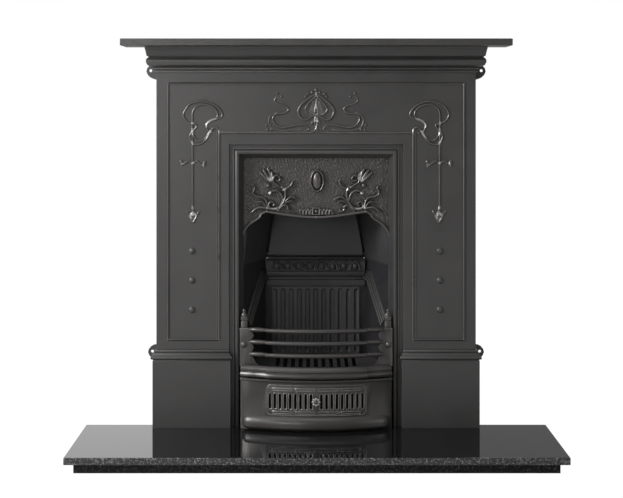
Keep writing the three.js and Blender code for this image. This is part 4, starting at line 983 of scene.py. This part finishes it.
def addStudio():
    bpy.ops.mesh.primitive_plane_add(size=40, location=(0, 0, -0.0006))
    floor = bpy.context.active_object
    floor.name = "floor"
    floor.data.materials.append(floorMaterial())
    world = bpy.data.worlds.new("studio")
    bpy.context.scene.world = world
    world.use_nodes = True
    tree = world.node_tree
    tree.nodes.clear()
    rays = addNode(tree, 'ShaderNodeLightPath')
    direction = addNode(tree, 'ShaderNodeTexCoord').outputs['Generated']
    split = addNode(tree, 'ShaderNodeSeparateXYZ')
    link(tree, direction, split.inputs[0])
    x, y, z = (split.outputs[axis] for axis in 'XYZ')
    sideways = ranged(tree, x, -0.7, 0.7, studio["leftGlow"], studio["rightGlow"])
    behindCamera = ranged(tree, y, -1.0, -0.3, studio["frontShade"], 1.0)
    room = maths(tree, 'MULTIPLY', sideways, behindCamera)
    ceiling = ranged(tree, z, 0.2, 0.8, 0.0, studio["ceilingGlow"])
    front = maths(tree, 'ADD', room, ceiling)
    # behind the fireplace the backdrop is bright on the left, and the polished stone shows it
    backdrop = ranged(tree, x, -0.03, 0.06, studio["backLeft"], studio["backRight"])
    isBack = maths(tree, 'GREATER_THAN', y, 0.3)
    around = addNode(tree, 'ShaderNodeMix', data_type='FLOAT')
    link(tree, isBack, around.inputs[0])
    link(tree, front, around.inputs[2])
    link(tree, backdrop, around.inputs[3])
    lit = addNode(tree, 'ShaderNodeBackground')
    lit.inputs['Color'].default_value = (1, 1, 1, 1)
    link(tree, around.outputs[0], lit.inputs['Strength'])
    white = addNode(tree, 'ShaderNodeBackground')
    white.inputs['Color'].default_value = (1, 1, 1, 1)
    white.inputs['Strength'].default_value = 1.0
    choose = addNode(tree, 'ShaderNodeMixShader')
    link(tree, rays.outputs['Is Camera Ray'], choose.inputs[0])
    link(tree, lit.outputs[0], choose.inputs[1])
    link(tree, white.outputs[0], choose.inputs[2])
    output = addNode(tree, 'ShaderNodeOutputWorld')
    link(tree, choose.outputs[0], output.inputs['Surface'])


def floorMaterial():
    material, tree, shader, position = newMaterial("paleFloor")
    shader.inputs['Base Color'].default_value = (*studio["floorColour"], 1)
    shader.inputs['Roughness'].default_value = 0.9
    rays = addNode(tree, 'ShaderNodeLightPath')
    glow = addNode(tree, 'ShaderNodeEmission')
    glow.inputs['Color'].default_value = (1, 1, 1, 1)
    glow.inputs['Strength'].default_value = studio["floorGlow"]
    choose = addNode(tree, 'ShaderNodeMixShader')
    lift = maths(tree, 'MULTIPLY', rays.outputs['Is Camera Ray'], studio["floorLift"])
    link(tree, lift, choose.inputs[0])
    link(tree, shader.outputs[0], choose.inputs[1])
    link(tree, glow.outputs[0], choose.inputs[2])
    link(tree, choose.outputs[0], tree.nodes['Material Output'].inputs['Surface'])
    return material


# softboxes: place, aim, width, height, watts
lamps = {
    "keyLeft": ((-3.0, -1.6, 2.0), (0.0, 0.0, 0.9), 1.0, 1.4, 152),
    "frontFill": ((-1.3, -3.6, 1.3), (0.0, 0.1, 0.35), 0.8, 0.8, 22),
    "fillRight": ((2.8, -2.6, 1.3), (0.1, 0.0, 0.6), 1.2, 1.8, 15),
    "overhead": ((-0.4, -1.2, 2.9), (0.0, 0.0, 0.8), 2.0, 1.0, 11),
    "behind": ((0.3, 2.6, 2.4), (0.0, 0.0, 0.8), 2.0, 1.5, 30),
}


def addLamps():
    for name, (place, aim, wide, high, watts) in lamps.items():
        data = bpy.data.lights.new(name, 'AREA')
        data.shape = 'RECTANGLE'
        data.size = wide
        data.size_y = high
        data.energy = watts
        lamp = bpy.data.objects.new(name, data)
        bpy.context.scene.collection.objects.link(lamp)
        lamp.location = place
        lamp.rotation_euler = (Vector(aim) - Vector(place)).to_track_quat('-Z', 'Y').to_euler()


addCamera()
addStudio()
addLamps()
bpy.context.scene.view_settings.view_transform = 'Standard'
print("studio ready")
